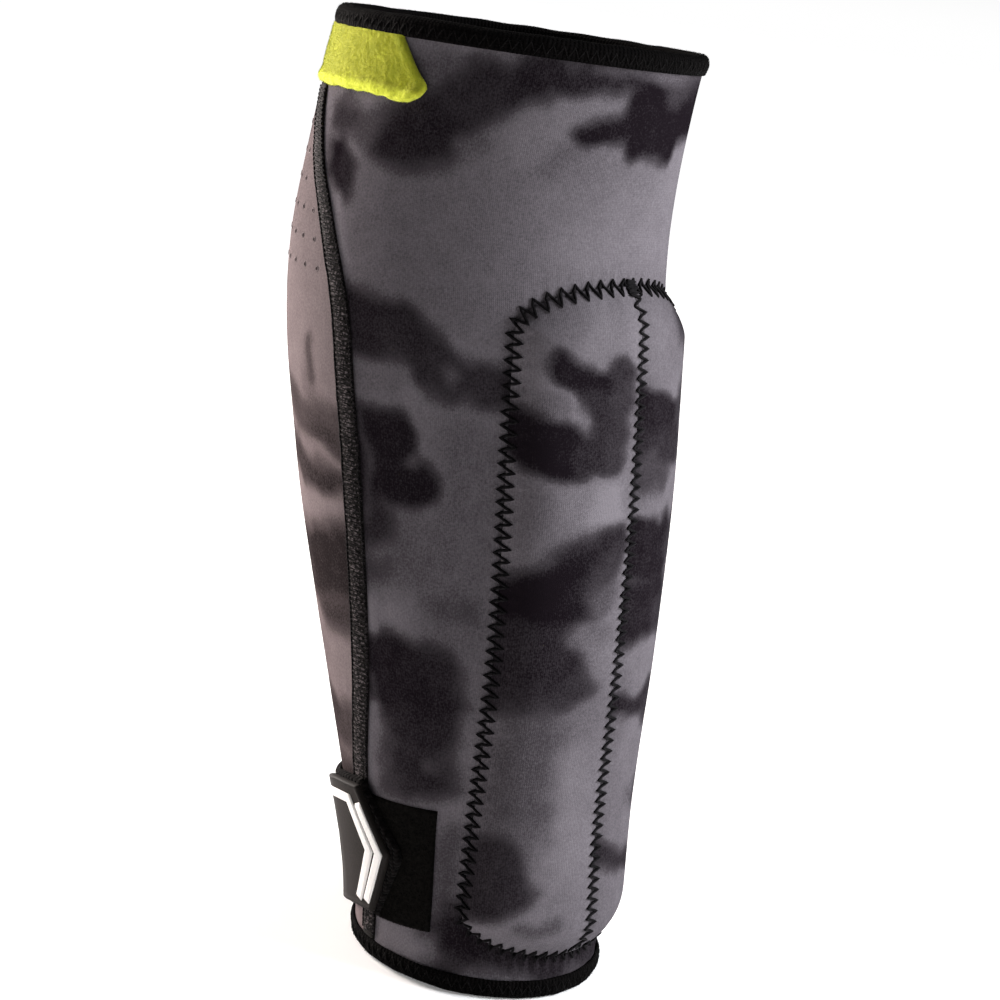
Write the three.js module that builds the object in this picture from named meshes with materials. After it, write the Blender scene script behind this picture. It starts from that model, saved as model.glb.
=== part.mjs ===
// A shin compression sleeve in the shape it has when worn: a padded neoprene tube round a lower
// leg, bound at both hems, with a pull tab at the calf and a hook-and-loop strap at the ankle.
// Sizes are millimetres. +Z runs up the leg from the ankle hem, -Y is the front of the shin and
// -X the wearer's right. The origin is the centre of the ankle opening, level with its hem.
// Places on the tube are given by height and by angle, in degrees round the leg from the front,
// positive towards the wearer's right. Distances off the tube's outer surface are called out.

import * as THREE from 'three';

// Tube
const HEIGHT = 300;
const WALL = 3;
const WIDTH_TO_DEPTH = 0.95;
const GAP = 0.3;

// Outer surface at each height: half the depth from shin to calf, and how far the middle of the
// section lies behind the middle of the ankle.
const SECTIONS = [
  { z: 0, halfDepth: 41.2, setBack: 0 },
  { z: 25, halfDepth: 42.3, setBack: 2.7 },
  { z: 60, halfDepth: 46.6, setBack: 10.6 },
  { z: 110, halfDepth: 54, setBack: 19.9 },
  { z: 160, halfDepth: 60.3, setBack: 29.6 },
  { z: 205, halfDepth: 63, setBack: 37.4 },
  { z: 245, halfDepth: 61.4, setBack: 40.2 },
  { z: 300, halfDepth: 58.8, setBack: 34 },
];

// Side seams between the front and the leaf-shaped back panel
const SEAM_WIDTH = 8;
const SEAM_THICKNESS = 0.7;
const SEAM_PATH = [
  { z: 0, angle: 110 },
  { z: 40, angle: 107.5 },
  { z: 65, angle: 102.5 },
  { z: 90, angle: 96.5 },
  { z: 120, angle: 92.2 },
  { z: 152, angle: 90 },
  { z: 185, angle: 90.3 },
  { z: 212, angle: 93 },
  { z: 237, angle: 103 },
  { z: 255, angle: 114.5 },
  { z: 273, angle: 124.5 },
  { z: 300, angle: 133 },
];

// Hem bindings: a knit tape folded over each raw edge
const BINDING_HEIGHT = 6.3;
const BINDING_THICKNESS = 1;
const BINDING_ROUNDING = 0.7;
const UNDER_TOP_BINDING = HEIGHT - BINDING_HEIGHT - GAP;

// Shin pad: two foam lobes that meet at a stitched line down the shin
const PAD_BOTTOM = 14;
const PAD_TOP = 228.5;
const PAD_BOTTOM_ROUNDING = 13;
const PAD_TOP_ROUNDING = 16;
const PAD_EDGE_THICKNESS = 0.8;
const PAD_THICKNESS = 7;
const PAD_SLOPE_WIDTH = 13;
const PAD_VALLEY_DEPTH = 1.8;
const PAD_VALLEY_WIDTH = 8;
const PAD_HALF_WIDTHS = [
  { z: 14, halfWidth: 42 },
  { z: 60, halfWidth: 40 },
  { z: 110, halfWidth: 40.3 },
  { z: 170, halfWidth: 42.2 },
  { z: 228.5, halfWidth: 42 },
];

// Pull tab under the calf hem
const TAB_MIDDLE = 118;
const TAB_TOP_HALF_ANGLE = 31;
const TAB_BOTTOM_HALF_ANGLE = 43;
const TAB_HEIGHT = 18;
const TAB_CORNER_HEIGHT = 5;
const TAB_CORNER_ANGLE = 4;
const TAB_SIDE_BOW = 2;
const TAB_THICKNESS = 1.1;
const TAB_FLARE = 1.2;
const TAB_FLAT_HALF_ANGLE = 15;
const TAB_FLARE_ANGLE = 25;

// Loop patch that takes the strap's hooks
const PATCH_FROM_SHIN = 51.3;
const PATCH_MIDDLE = 38.5;
const PATCH_HEIGHT = 41;
const PATCH_THICKNESS = 1.2;
const PATCH_DROP = 2.5;

// Ankle strap: sewn into the far seam, round the back, and over the patch to a pointed tip
const STRAP_TIP_ANGLE = 82.5;
const STRAP_WIDTH = 44;
const STRAP_THICKNESS = 2;
const STRAP_REST = 0.4;
const STRAP_PATH = [
  { angle: 82, middle: 41 },
  { angle: 112, middle: 37.7 },
  { angle: 140, middle: 31.5 },
  { angle: 180, middle: 29.5 },
  { angle: 255, middle: 32 },
];

// Badge: a hexagonal rubber plate on the strap's end, with two blunt points
const BADGE_MIDDLE_ANGLE = 112;
const BADGE_HEIGHT = 41;
const BADGE_FLAT_LENGTH = 22.5;
const BADGE_POINT_LENGTH = 9;
const BADGE_THICKNESS = 2;
const BADGE_TIP_HEIGHT = 1.2;

// Fineness of the meshes
const WALL_ROWS = 20;
const FRONT_COLUMNS = 36;
const BACK_COLUMNS = 20;
const HEM_COLUMNS = 56;
const SEAM_ROWS = 30;
const SEAM_COLUMNS = 4;
const PAD_COLUMN_SHARES = [0, 0.06, 0.14, 0.24, 0.45, 0.66, 0.8, 0.9, 0.96, 1];
const PAD_END_STEPS = 5;
const PAD_SIDE_STEPS = 11;

const materials = {
  neoprene: new THREE.MeshStandardMaterial({ color: 0x6b666b, roughness: 0.85, metalness: 0 }),
  binding: new THREE.MeshStandardMaterial({ color: 0x141112, roughness: 0.95, metalness: 0 }),
  seam: new THREE.MeshStandardMaterial({ color: 0x242020, roughness: 0.9, metalness: 0 }),
  tab: new THREE.MeshStandardMaterial({ color: 0xa4a737, roughness: 0.9, metalness: 0 }),
  hookLoop: new THREE.MeshStandardMaterial({ color: 0x0b0a09, roughness: 1, metalness: 0 }),
  strap: new THREE.MeshStandardMaterial({ color: 0x1b1817, roughness: 0.9, metalness: 0 }),
  rubber: new THREE.MeshStandardMaterial({ color: 0x48403b, roughness: 0.6, metalness: 0 }),
};

// Smooth curve through one column of a table, by its first column
function smoothThrough(rows, along, column) {
  const last = rows.length - 1;
  const slopes = rows.map((row, k) => {
    const before = rows[Math.max(k - 1, 0)];
    const after = rows[Math.min(k + 1, last)];
    return (after[column] - before[column]) / (after[along] - before[along]);
  });
  return (place) => {
    let k = 0;
    while (k < last - 1 && place > rows[k + 1][along]) {
      k += 1;
    }
    const span = rows[k + 1][along] - rows[k][along];
    const share = (place - rows[k][along]) / span;
    const square = share * share;
    const cube = square * share;
    return rows[k][column] * (2 * cube - 3 * square + 1)
      + rows[k + 1][column] * (3 * square - 2 * cube)
      + slopes[k] * span * (cube - 2 * square + share)
      + slopes[k + 1] * span * (cube - square);
  };
}

const halfDepthAt = smoothThrough(SECTIONS, 'z', 'halfDepth');
const setBackAt = smoothThrough(SECTIONS, 'z', 'setBack');
const seamAngleAt = smoothThrough(SEAM_PATH, 'z', 'angle');
const padHalfWidthAt = smoothThrough(PAD_HALF_WIDTHS, 'z', 'halfWidth');
const strapMiddleAt = smoothThrough(STRAP_PATH, 'angle', 'middle');

const smoothStep = (share) => THREE.MathUtils.smoothstep(share, 0, 1);

// A point on the tube, or off its surface by a distance out
function onTube(angle, z, out) {
  const turn = THREE.MathUtils.degToRad(angle);
  const halfDepth = halfDepthAt(z) + out;
  const halfWidth = halfDepthAt(z) * WIDTH_TO_DEPTH + out;
  return new THREE.Vector3(-halfWidth * Math.sin(turn), setBackAt(z) - halfDepth * Math.cos(turn), z);
}

// The angle that a length along the surface spans at a height
function angleOver(length, z) {
  const meanRadius = halfDepthAt(z) * (1 + WIDTH_TO_DEPTH) / 2;
  return THREE.MathUtils.radToDeg(length / meanRadius);
}

function solid(points, triangles) {
  const geometry = new THREE.BufferGeometry();
  const coordinates = points.flatMap((point) => point.toArray());
  geometry.setAttribute('position', new THREE.Float32BufferAttribute(coordinates, 3));
  geometry.setIndex(triangles);
  geometry.computeVertexNormals();
  return geometry;
}

function addQuad(triangles, a, b, c, d) {
  triangles.push(a, b, c, a, c, d);
}

// A closed slab of cloth lying on the tube. spot(i, j) gives a grid point's angle and height and
// how far out its two faces are. Angles grow with i and heights with j.
function slab(columns, rows, spot) {
  const points = [];
  const triangles = [];
  for (let j = 0; j <= rows; j += 1) {
    for (let i = 0; i <= columns; i += 1) {
      const { angle, z, low, high } = spot(i, j);
      points.push(onTube(angle, z, low), onTube(angle, z, high));
    }
  }
  const low = (i, j) => 2 * (j * (columns + 1) + i);
  const high = (i, j) => low(i, j) + 1;
  for (let j = 0; j < rows; j += 1) {
    for (let i = 0; i < columns; i += 1) {
      addQuad(triangles, high(i, j), high(i, j + 1), high(i + 1, j + 1), high(i + 1, j));
      addQuad(triangles, low(i, j), low(i + 1, j), low(i + 1, j + 1), low(i, j + 1));
    }
    addQuad(triangles, high(0, j + 1), high(0, j), low(0, j), low(0, j + 1));
    addQuad(triangles, high(columns, j), high(columns, j + 1), low(columns, j + 1), low(columns, j));
  }
  for (let i = 0; i < columns; i += 1) {
    addQuad(triangles, high(i, 0), high(i + 1, 0), low(i + 1, 0), low(i, 0));
    addQuad(triangles, high(i + 1, rows), high(i, rows), low(i, rows), low(i + 1, rows));
  }
  return solid(points, triangles);
}

// One wall panel between two edges that are given as angles by height
function panel(columns, startAt, endAt) {
  const hem = BINDING_THICKNESS + 2 * GAP;
  return slab(columns, WALL_ROWS, (i, j) => {
    const z = THREE.MathUtils.lerp(hem, HEIGHT - hem, j / WALL_ROWS);
    const angle = THREE.MathUtils.lerp(startAt(z), endAt(z), i / columns);
    return { angle, z, low: -WALL, high: 0 };
  });
}

function frontPanel() {
  const edgeAt = (z) => seamAngleAt(z) - angleOver(GAP / 2, z);
  return panel(FRONT_COLUMNS, (z) => -edgeAt(z), edgeAt);
}

function backPanel() {
  const edgeAt = (z) => seamAngleAt(z) + angleOver(GAP / 2, z);
  return panel(BACK_COLUMNS, edgeAt, (z) => 360 - edgeAt(z));
}

// Coverstitched band over the joint of the two panels, on one side of the leg
function sideSeam(side, top) {
  return slab(SEAM_COLUMNS, SEAM_ROWS, (i, j) => {
    const z = THREE.MathUtils.lerp(BINDING_HEIGHT + GAP, top, j / SEAM_ROWS);
    const across = (i / SEAM_COLUMNS - 0.5) * SEAM_WIDTH;
    const angle = side * seamAngleAt(z) + angleOver(across, z);
    return { angle, z, low: GAP, high: GAP + SEAM_THICKNESS };
  });
}

// Tape folded round a hem. Depths are measured from the hem's edge into the sleeve.
function binding(atTop) {
  const outside = GAP + BINDING_THICKNESS;
  const inside = -WALL - GAP - BINDING_THICKNESS;
  const profile = [
    { out: outside, depth: BINDING_HEIGHT },
    { out: outside, depth: BINDING_ROUNDING },
    { out: outside - BINDING_ROUNDING, depth: 0 },
    { out: inside + BINDING_ROUNDING, depth: 0 },
    { out: inside, depth: BINDING_ROUNDING },
    { out: inside, depth: BINDING_HEIGHT },
    { out: inside + BINDING_THICKNESS, depth: BINDING_HEIGHT },
    { out: inside + BINDING_THICKNESS, depth: BINDING_THICKNESS + GAP },
    { out: GAP, depth: BINDING_THICKNESS + GAP },
    { out: GAP, depth: BINDING_HEIGHT },
  ];
  if (!atTop) {
    profile.reverse();
  }
  const points = [];
  const triangles = [];
  const count = profile.length;
  const at = (k, s) => (s % HEM_COLUMNS) * count + (k % count);
  for (let s = 0; s < HEM_COLUMNS; s += 1) {
    profile.forEach(({ out, depth }, k) => {
      const z = atTop ? HEIGHT - depth : depth;
      points.push(onTube(s * 360 / HEM_COLUMNS, z, out));
      addQuad(triangles, at(k, s), at(k + 1, s), at(k + 1, s + 1), at(k, s + 1));
    });
  }
  return solid(points, triangles);
}

// Heights and half widths of the pad's outline, with half-elliptical ends
function padOutline() {
  const outline = [];
  const endTurn = (step) => THREE.MathUtils.degToRad(90 * (step + 1) / (PAD_END_STEPS + 1));
  for (let step = 0; step < PAD_END_STEPS; step += 1) {
    const z = PAD_BOTTOM + PAD_BOTTOM_ROUNDING * (1 - Math.cos(endTurn(step)));
    outline.push({ z, halfWidth: padHalfWidthAt(z) * Math.sin(endTurn(step)) });
  }
  const sideStart = PAD_BOTTOM + PAD_BOTTOM_ROUNDING;
  const sideEnd = PAD_TOP - PAD_TOP_ROUNDING;
  for (let step = 0; step <= PAD_SIDE_STEPS; step += 1) {
    const z = THREE.MathUtils.lerp(sideStart, sideEnd, step / PAD_SIDE_STEPS);
    outline.push({ z, halfWidth: padHalfWidthAt(z) });
  }
  for (let step = PAD_END_STEPS - 1; step >= 0; step -= 1) {
    const z = PAD_TOP - PAD_TOP_ROUNDING * (1 - Math.cos(endTurn(step)));
    outline.push({ z, halfWidth: padHalfWidthAt(z) * Math.sin(endTurn(step)) });
  }
  return outline;
}

// Thickness of the pad at a distance from its centre line
function padThicknessAt(fromCentre, z) {
  const halfWidth = padHalfWidthAt(z);
  const bow = 1 - Math.sqrt(Math.max(1 - (fromCentre / halfWidth) ** 2, 0));
  const fromBottom = z - PAD_BOTTOM - PAD_BOTTOM_ROUNDING * bow;
  const fromTop = PAD_TOP - PAD_TOP_ROUNDING * bow - z;
  const fromEdge = Math.max(Math.min(halfWidth - fromCentre, fromBottom, fromTop), 0);
  const slope = 1 - Math.min(fromEdge / PAD_SLOPE_WIDTH, 1);
  const rise = (PAD_THICKNESS - PAD_EDGE_THICKNESS) * (1 - slope * slope);
  const valley = PAD_VALLEY_DEPTH * (1 - smoothStep(fromCentre / PAD_VALLEY_WIDTH));
  return PAD_EDGE_THICKNESS + Math.max(rise - valley, 0);
}

// One lobe of the shin pad, from the centre line to its outer edge on one side
function padLobe(side) {
  const outline = padOutline();
  const shares = side > 0 ? PAD_COLUMN_SHARES : PAD_COLUMN_SHARES.toReversed();
  return slab(shares.length - 1, outline.length - 1, (i, j) => {
    const { z, halfWidth } = outline[j];
    const fromCentre = THREE.MathUtils.lerp(GAP / 2, halfWidth, shares[i]);
    const angle = side * angleOver(fromCentre, z);
    return { angle, z, low: GAP, high: GAP + padThicknessAt(fromCentre, z) };
  });
}

// Felt tab hanging from the calf hem, wider at its lower edge, whose corners stand off the leg
function pullTab() {
  const top = UNDER_TOP_BINDING;
  const bottom = top - TAB_HEIGHT;
  const rows = [
    { z: bottom, half: TAB_BOTTOM_HALF_ANGLE - TAB_CORNER_ANGLE },
    { z: bottom + TAB_CORNER_HEIGHT / 3, half: TAB_BOTTOM_HALF_ANGLE - TAB_CORNER_ANGLE / 3 },
    { z: bottom + TAB_CORNER_HEIGHT, half: TAB_BOTTOM_HALF_ANGLE },
    { z: (bottom + top) / 2, half: (TAB_BOTTOM_HALF_ANGLE + TAB_TOP_HALF_ANGLE) / 2 + TAB_SIDE_BOW },
    { z: top, half: TAB_TOP_HALF_ANGLE },
  ];
  const columns = 14;
  return slab(columns, rows.length - 1, (i, j) => {
    const { z, half } = rows[j];
    const angle = TAB_MIDDLE + half * (2 * i / columns - 1);
    const fromFlat = Math.abs(angle - TAB_MIDDLE) - TAB_FLAT_HALF_ANGLE;
    const low = GAP + TAB_FLARE * smoothStep(fromFlat / TAB_FLARE_ANGLE) * (top - z) / TAB_HEIGHT;
    return { angle, z, low, high: low + TAB_THICKNESS };
  });
}

// Patch on the front panel, sewn up to the seam band
function loopPatch() {
  const columns = 6;
  const rows = 4;
  return slab(columns, rows, (i, j) => {
    const z = PATCH_MIDDLE - PATCH_DROP * i / columns + PATCH_HEIGHT * (j / rows - 0.5);
    const seamEdge = seamAngleAt(z) - angleOver(SEAM_WIDTH / 2 + 2 * GAP, z);
    const angle = THREE.MathUtils.lerp(angleOver(PATCH_FROM_SHIN, z), seamEdge, i / columns);
    return { angle, z, low: GAP, high: GAP + PATCH_THICKNESS };
  });
}

// How far the strap's inner face is off the tube: it steps up over the near seam and the patch
function strapLift(angle) {
  const overPatch = 2 * GAP + PATCH_THICKNESS;
  const stepStart = 116;
  const stepLength = 16;
  return THREE.MathUtils.lerp(overPatch, STRAP_REST, smoothStep((angle - stepStart) / stepLength));
}

// Where the strap is sewn in, at the edge of the left seam's band
function strapEndAt(z) {
  return 360 - seamAngleAt(z) - angleOver(SEAM_WIDTH / 2 + 2 * GAP, z);
}

function ankleStrap() {
  const tipSteps = 4;
  const bandSteps = 30;
  const rows = 4;
  const tipSlope = Math.sqrt(3);
  const tipBlunt = 1.5;
  const bandStart = STRAP_TIP_ANGLE + angleOver((STRAP_WIDTH / 2 - tipBlunt) / tipSlope, PATCH_MIDDLE);
  const middleEnd = strapEndAt(STRAP_PATH.at(-1).middle);
  return slab(tipSteps + bandSteps, rows, (i, j) => {
    const tipShare = Math.min(i / tipSteps, 1);
    const bandShare = Math.max((i - tipSteps) / bandSteps, 0);
    const half = THREE.MathUtils.lerp(tipBlunt, STRAP_WIDTH / 2, tipShare);
    const start = THREE.MathUtils.lerp(STRAP_TIP_ANGLE, bandStart, tipShare);
    const middleAngle = THREE.MathUtils.lerp(start, middleEnd, bandShare);
    const z = strapMiddleAt(middleAngle) + half * (2 * j / rows - 1);
    const angle = THREE.MathUtils.lerp(start, strapEndAt(z), bandShare);
    const low = strapLift(angle);
    return { angle, z, low, high: low + STRAP_THICKNESS };
  });
}

// Hexagon with a flat top and bottom and a point at each end, bent round the leg over the strap
function strapBadge() {
  const pointShares = [0, 0.25, 0.5, 0.75, 1];
  const flatShares = [0.2, 0.4, 0.6, 0.8];
  const halfLength = BADGE_FLAT_LENGTH / 2 + BADGE_POINT_LENGTH;
  const start = pointShares.map((share) => ({
    across: BADGE_POINT_LENGTH * share - halfLength,
    half: THREE.MathUtils.lerp(BADGE_TIP_HEIGHT, BADGE_HEIGHT, share) / 2,
  }));
  const flat = flatShares.map((share) => ({
    across: BADGE_FLAT_LENGTH * (share - 0.5),
    half: BADGE_HEIGHT / 2,
  }));
  const end = start.map(({ across, half }) => ({ across: -across, half })).reverse();
  const columns = [...start, ...flat, ...end];
  const rows = 4;
  return slab(columns.length - 1, rows, (i, j) => {
    const { across, half } = columns[i];
    const angle = BADGE_MIDDLE_ANGLE + angleOver(across, PATCH_MIDDLE + STRAP_WIDTH / 2);
    const z = strapMiddleAt(angle) + half * (2 * j / rows - 1);
    const low = strapLift(angle) + STRAP_THICKNESS + GAP;
    return { angle, z, low, high: low + BADGE_THICKNESS };
  });
}

const RIGHT = 1;
const LEFT = -1;
const UNDER_TAB = UNDER_TOP_BINDING - TAB_HEIGHT - GAP;

const pieces = [
  ['front_panel', frontPanel(), materials.neoprene],
  ['back_panel', backPanel(), materials.neoprene],
  ['side_seam_right', sideSeam(RIGHT, UNDER_TAB), materials.seam],
  ['side_seam_left', sideSeam(LEFT, UNDER_TOP_BINDING), materials.seam],
  ['shin_pad_right', padLobe(RIGHT), materials.neoprene],
  ['shin_pad_left', padLobe(LEFT), materials.neoprene],
  ['top_binding', binding(true), materials.binding],
  ['bottom_binding', binding(false), materials.binding],
  ['pull_tab', pullTab(), materials.tab],
  ['loop_patch', loopPatch(), materials.hookLoop],
  ['ankle_strap', ankleStrap(), materials.strap],
  ['strap_badge', strapBadge(), materials.rubber],
];

const sleeve = new THREE.Group();
sleeve.name = 'shin_compression_sleeve';
for (const [name, geometry, material] of pieces) {
  const mesh = new THREE.Mesh(geometry, material);
  mesh.name = name;
  sleeve.add(mesh);
}

export default sleeve;
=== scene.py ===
import math

import bpy
import numpy as np
from mathutils import Matrix, Vector


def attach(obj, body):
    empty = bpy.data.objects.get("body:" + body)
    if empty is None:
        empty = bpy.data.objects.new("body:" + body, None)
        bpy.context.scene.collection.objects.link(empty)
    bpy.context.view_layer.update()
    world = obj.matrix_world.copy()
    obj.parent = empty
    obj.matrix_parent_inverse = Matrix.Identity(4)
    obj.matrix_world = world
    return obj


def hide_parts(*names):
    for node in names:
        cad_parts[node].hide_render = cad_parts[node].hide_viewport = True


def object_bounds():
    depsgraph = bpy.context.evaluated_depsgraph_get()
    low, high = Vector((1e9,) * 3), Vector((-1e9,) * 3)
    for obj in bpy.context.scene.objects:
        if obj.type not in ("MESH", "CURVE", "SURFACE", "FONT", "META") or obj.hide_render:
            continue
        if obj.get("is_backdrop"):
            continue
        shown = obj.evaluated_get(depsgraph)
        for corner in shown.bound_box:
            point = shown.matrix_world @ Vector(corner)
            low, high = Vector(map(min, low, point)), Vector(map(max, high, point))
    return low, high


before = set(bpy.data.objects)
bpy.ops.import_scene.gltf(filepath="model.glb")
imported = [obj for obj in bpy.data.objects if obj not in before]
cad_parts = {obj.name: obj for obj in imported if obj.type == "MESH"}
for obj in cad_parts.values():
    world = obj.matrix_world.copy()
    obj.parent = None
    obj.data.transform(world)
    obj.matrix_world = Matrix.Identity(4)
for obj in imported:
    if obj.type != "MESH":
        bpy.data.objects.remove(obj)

cad_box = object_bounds()
scene = bpy.context.scene

# Front panel
# One piece of 3 mm neoprene, faced outside with a knit in a soft camouflage print and inside with
# plain jersey. It wraps the shin and both sides of the leg, and is sewn to the calf panel behind.
# Sizes are millimetres and degrees: angles run round the leg from the shin, heights up from the hem,
# and out is the distance off the leg's outer surface. A mesh is turned into metres when it is made.
MM = 0.001
HEIGHT = 300
WALL = 3
WIDTH_TO_DEPTH = 0.95
GAP = 0.3
HEM_ALLOWANCE = 1.6
FLAT_APART = 5000
LEG_SECTIONS = (  # height, half depth, set back
    (0, 41.2, 0),
    (25, 42.3, 2.7),
    (60, 46.6, 10.6),
    (110, 54, 19.9),
    (160, 60.3, 29.6),
    (205, 63, 37.4),
    (245, 61.4, 40.2),
    (300, 58.8, 34),
)
SEAM_PATH = (  # height, angle
    (0, 110),
    (40, 107.5),
    (65, 102.5),
    (90, 96.5),
    (120, 92.2),
    (152, 90),
    (185, 90.3),
    (212, 93),
    (237, 103),
    (255, 114.5),
    (273, 124.5),
    (300, 133),
)
PAD_BOTTOM = 14
PAD_TOP = 228.5
PAD_BOTTOM_ROUNDING = 13
PAD_TOP_ROUNDING = 16
PAD_HALF_WIDTHS = (  # height, half width
    (14, 42),
    (60, 40),
    (110, 40.3),
    (170, 42.2),
    (228.5, 42),
)
ZIGZAG_PITCH = 3.9
ZIGZAG_WIDTH = 4.7
PRINT_GROUND = 0.75
PANEL_PRINT_BLUR = 2.7
PRINT_WANDER = 2.4
GATHER_FROM = 6
GATHER_FADE = 7
GATHER_DEPTH = 0.35
GATHER_SIZE = 4
FRONT_GRID = (210, 185)
FRONT_SWELL = (0.3, 30, 5)  # rise, size, seed
FRONT_PRINT_SEED = 20
SEWN_DEPTH = 0.45
SEWN_WIDTH = 2.4
PUCKER_RISE = 0.16
LOW_PUCKER_RISE = 0.4
# A blotch: across and up at one end and at the other, radius, tone from dark 0 to light 1, own blur
PANEL_PRINT = (
    (54, 243, 95, 235, 22, 0.68, 14),
    (36, 280, 36, 268, 8, 0.58, 8),
    (66, 140, 86, 138, 12, 0.55, 8),
    (54, 178, 55, 118, 10, 0.57, 8),
    (-45, 283, 6, 282, 9.5, -0.02),
    (-8, 275, 6, 274.5, 8, -0.02),
    (23, 284, 33, 281, 6.5, 0.74),
    (30, 281, 44, 270, 7, 0.78),
    (10, 279, 25, 272.5, 4.2, 0.0),
    (46, 286, 56, 285, 7, 0.3, 6),
    (60, 284.5, 66, 281.5, 7, 0.14, 5),
    (42, 288, 54, 283, 5, 0.04, 4),
    (12, 291, 44, 289, 4, 0.06, 3.5),
    (-24, 293, -8, 289, 4.5, 0.26, 4),
    (62, 279, 75, 271, 9, 0.14, 6),
    (72, 266, 86, 264, 9, 0.08, 5),
    (103, 268, 108, 267.5, 5, 0.22, 4),
    (96, 270, 97.5, 266, 2, 0.4),
    (106, 257, 104, 250, 5, -0.04, 4),
    (102, 252, 101, 243, 3.5, 0.13, 4),
    (107, 261, 111, 261, 2, 0.55),
    (-40, 294, 26, 293.5, 1.4, 0.5),
    (71, 288, 82, 286, 4.5, 0.5, 4),
    (57, 265.5, 63, 264, 3.5, 0.5, 4),
    (92, 268, 94, 263, 3, 0.45, 4),
    (98, 209, 80, 207.5, 9.5, 0.1, 4.5),
    (78, 204.5, 66, 199.5, 7, 0.14, 4),
    (64, 197, 44, 194.5, 7, 0.17, 4),
    (60, 196.5, 60.5, 196, 2.4, 0.5),
    (79, 193, 91, 190, 6, 0.66, 4),
    (77, 176, 86, 174.5, 8, 0.04),
    (84, 170, 87, 158, 8.5, 0.03),
    (69, 162.5, 80, 160, 7.5, 0.04),
    (81, 150, 85, 147, 5.5, 0.14, 4),
    (72, 170, 72.5, 169.5, 1.5, 0.5),
    (78, 134, 88, 132, 3.5, 0.36, 4),
    (51, 126, 60, 125, 3.5, 0.42, 4),
    (57, 102, 66, 104, 8, 0.1, 4.5),
    (68, 106, 82, 105, 7.5, 0.06, 4.5),
    (55, 93, 76, 94, 8, 0.05, 4.5),
    (56, 84, 66, 84, 8, 0.1, 5),
    (57, 72, 64, 70, 9, 0.12, 5),
    (68, 66, 74, 64, 3.5, 0.28, 4),
    (54, 75.5, 56, 75, 2, 0.4),
    # The next six narrow strokes along the seam are painted highlight, not print: the panel's edge beside
    # the seam is lit.
    (79, 82, 79, 66, 4.5, 0.52, 4),
    (78, 88, 77, 62, 2.6, 0.85, 3),
    (79, 93, 79, 98, 1.8, 0.3, 2.5),
    (80.5, 113, 82, 122, 2.4, 0.95, 3),
    (86, 150, 89, 182, 1.8, 0.3, 2.5),
    (98.5, 226, 104, 241, 2.4, 0.9, 3),
    (-26, 13, 10, 13, 8, 0.14, 5),
    (10, 14, 46, 18, 9, 0.1, 5),
    (46, 52, 46, 22, 4.5, 0.45, 5),
    (43, 24, 47, 12, 5, 0.2, 4),
    (37, 17, 45, 19, 4.5, 0.03, 4),
    (54, 12, 76, 10.5, 4.5, 0.85, 4),
    (-58, 286, -47, 284, 7, 0.1, 4),
    (-66, 280, -60, 276, 5, 0.3, 4),
    (-96, 268, -84, 262, 8, 0.06, 4),
    (-84, 256, -76, 250, 7, 0.1, 4),
    (-104, 258, -98, 262, 6, 0.16, 4),
    (-74, 262, -70, 266, 4, 0.35, 4),
    (-70, 240, -56, 234, 7.5, 0.1, 4),
    (-54, 228, -52, 222, 5, 0.2, 4),
    (-76, 232, -70, 230, 5, 0.3, 4),
    (-96, 214, -84, 208, 9, 0.05, 4),
    (-82, 202, -70, 198, 8, 0.1, 4),
    (-66, 194, -60, 196, 5, 0.2, 4),
    (-92, 196, -88, 192, 5, 0.3, 4),
    (-56, 166, -64, 172, 7, 0.08, 4),
    (-68, 164, -74, 160, 7.5, 0.06, 4),
    (-80, 168, -84, 172, 5, 0.25, 4),
    (-72, 176, -70, 180, 4, 0.35, 4),
    (-90, 140, -80, 132, 8, 0.08, 4),
    (-74, 128, -66, 132, 7, 0.12, 4),
    (-62, 122, -58, 120, 4.5, 0.3, 4),
    (-52, 100, -62, 96, 6.5, 0.1, 4),
    (-68, 102, -76, 98, 7, 0.08, 4),
    (-64, 88, -60, 84, 5, 0.25, 4),
    (-76, 72, -68, 66, 6.5, 0.1, 4),
    (-60, 60, -56, 56, 5, 0.2, 4),
    (-50, 40, -58, 34, 6, 0.14, 4),
    (-66, 30, -72, 26, 6, 0.1, 4),
    (-70, 108, -66, 115, 5, 0.2, 4),
    (-56, 92, -50, 86, 5, 0.2, 4),
    (-66, 76, -58, 80, 6, 0.1, 4),
    (-54, 75, -49, 70, 4, 0.3, 4),
    (-62, 40, -70, 47, 6, 0.1, 4),
    (-56, 27, -48, 22, 5, 0.2, 4),
)


def smooth_through(rows, along, column=1):
    table = np.array(rows, dtype=float)
    place, value = table[:, 0], table[:, column]
    last = len(place) - 1
    here = np.arange(last + 1)
    before, after = np.maximum(here - 1, 0), np.minimum(here + 1, last)
    slope = (value[after] - value[before]) / (place[after] - place[before])
    k = np.clip(np.searchsorted(place, along) - 1, 0, last - 1)
    span = place[k + 1] - place[k]
    share = (along - place[k]) / span
    square, cube = share ** 2, share ** 3
    return (value[k] * (2 * cube - 3 * square + 1) + value[k + 1] * (3 * square - 2 * cube)
            + slope[k] * span * (cube - 2 * square + share) + slope[k + 1] * span * (cube - square))


def smooth_step(share):
    share = np.clip(share, 0, 1)
    return share * share * (3 - 2 * share)


def bump_at(distance, width):
    return np.exp(-(distance / width) ** 2)


def ripple(along, pitch):
    return np.cos(2 * math.pi * along / pitch)


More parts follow.
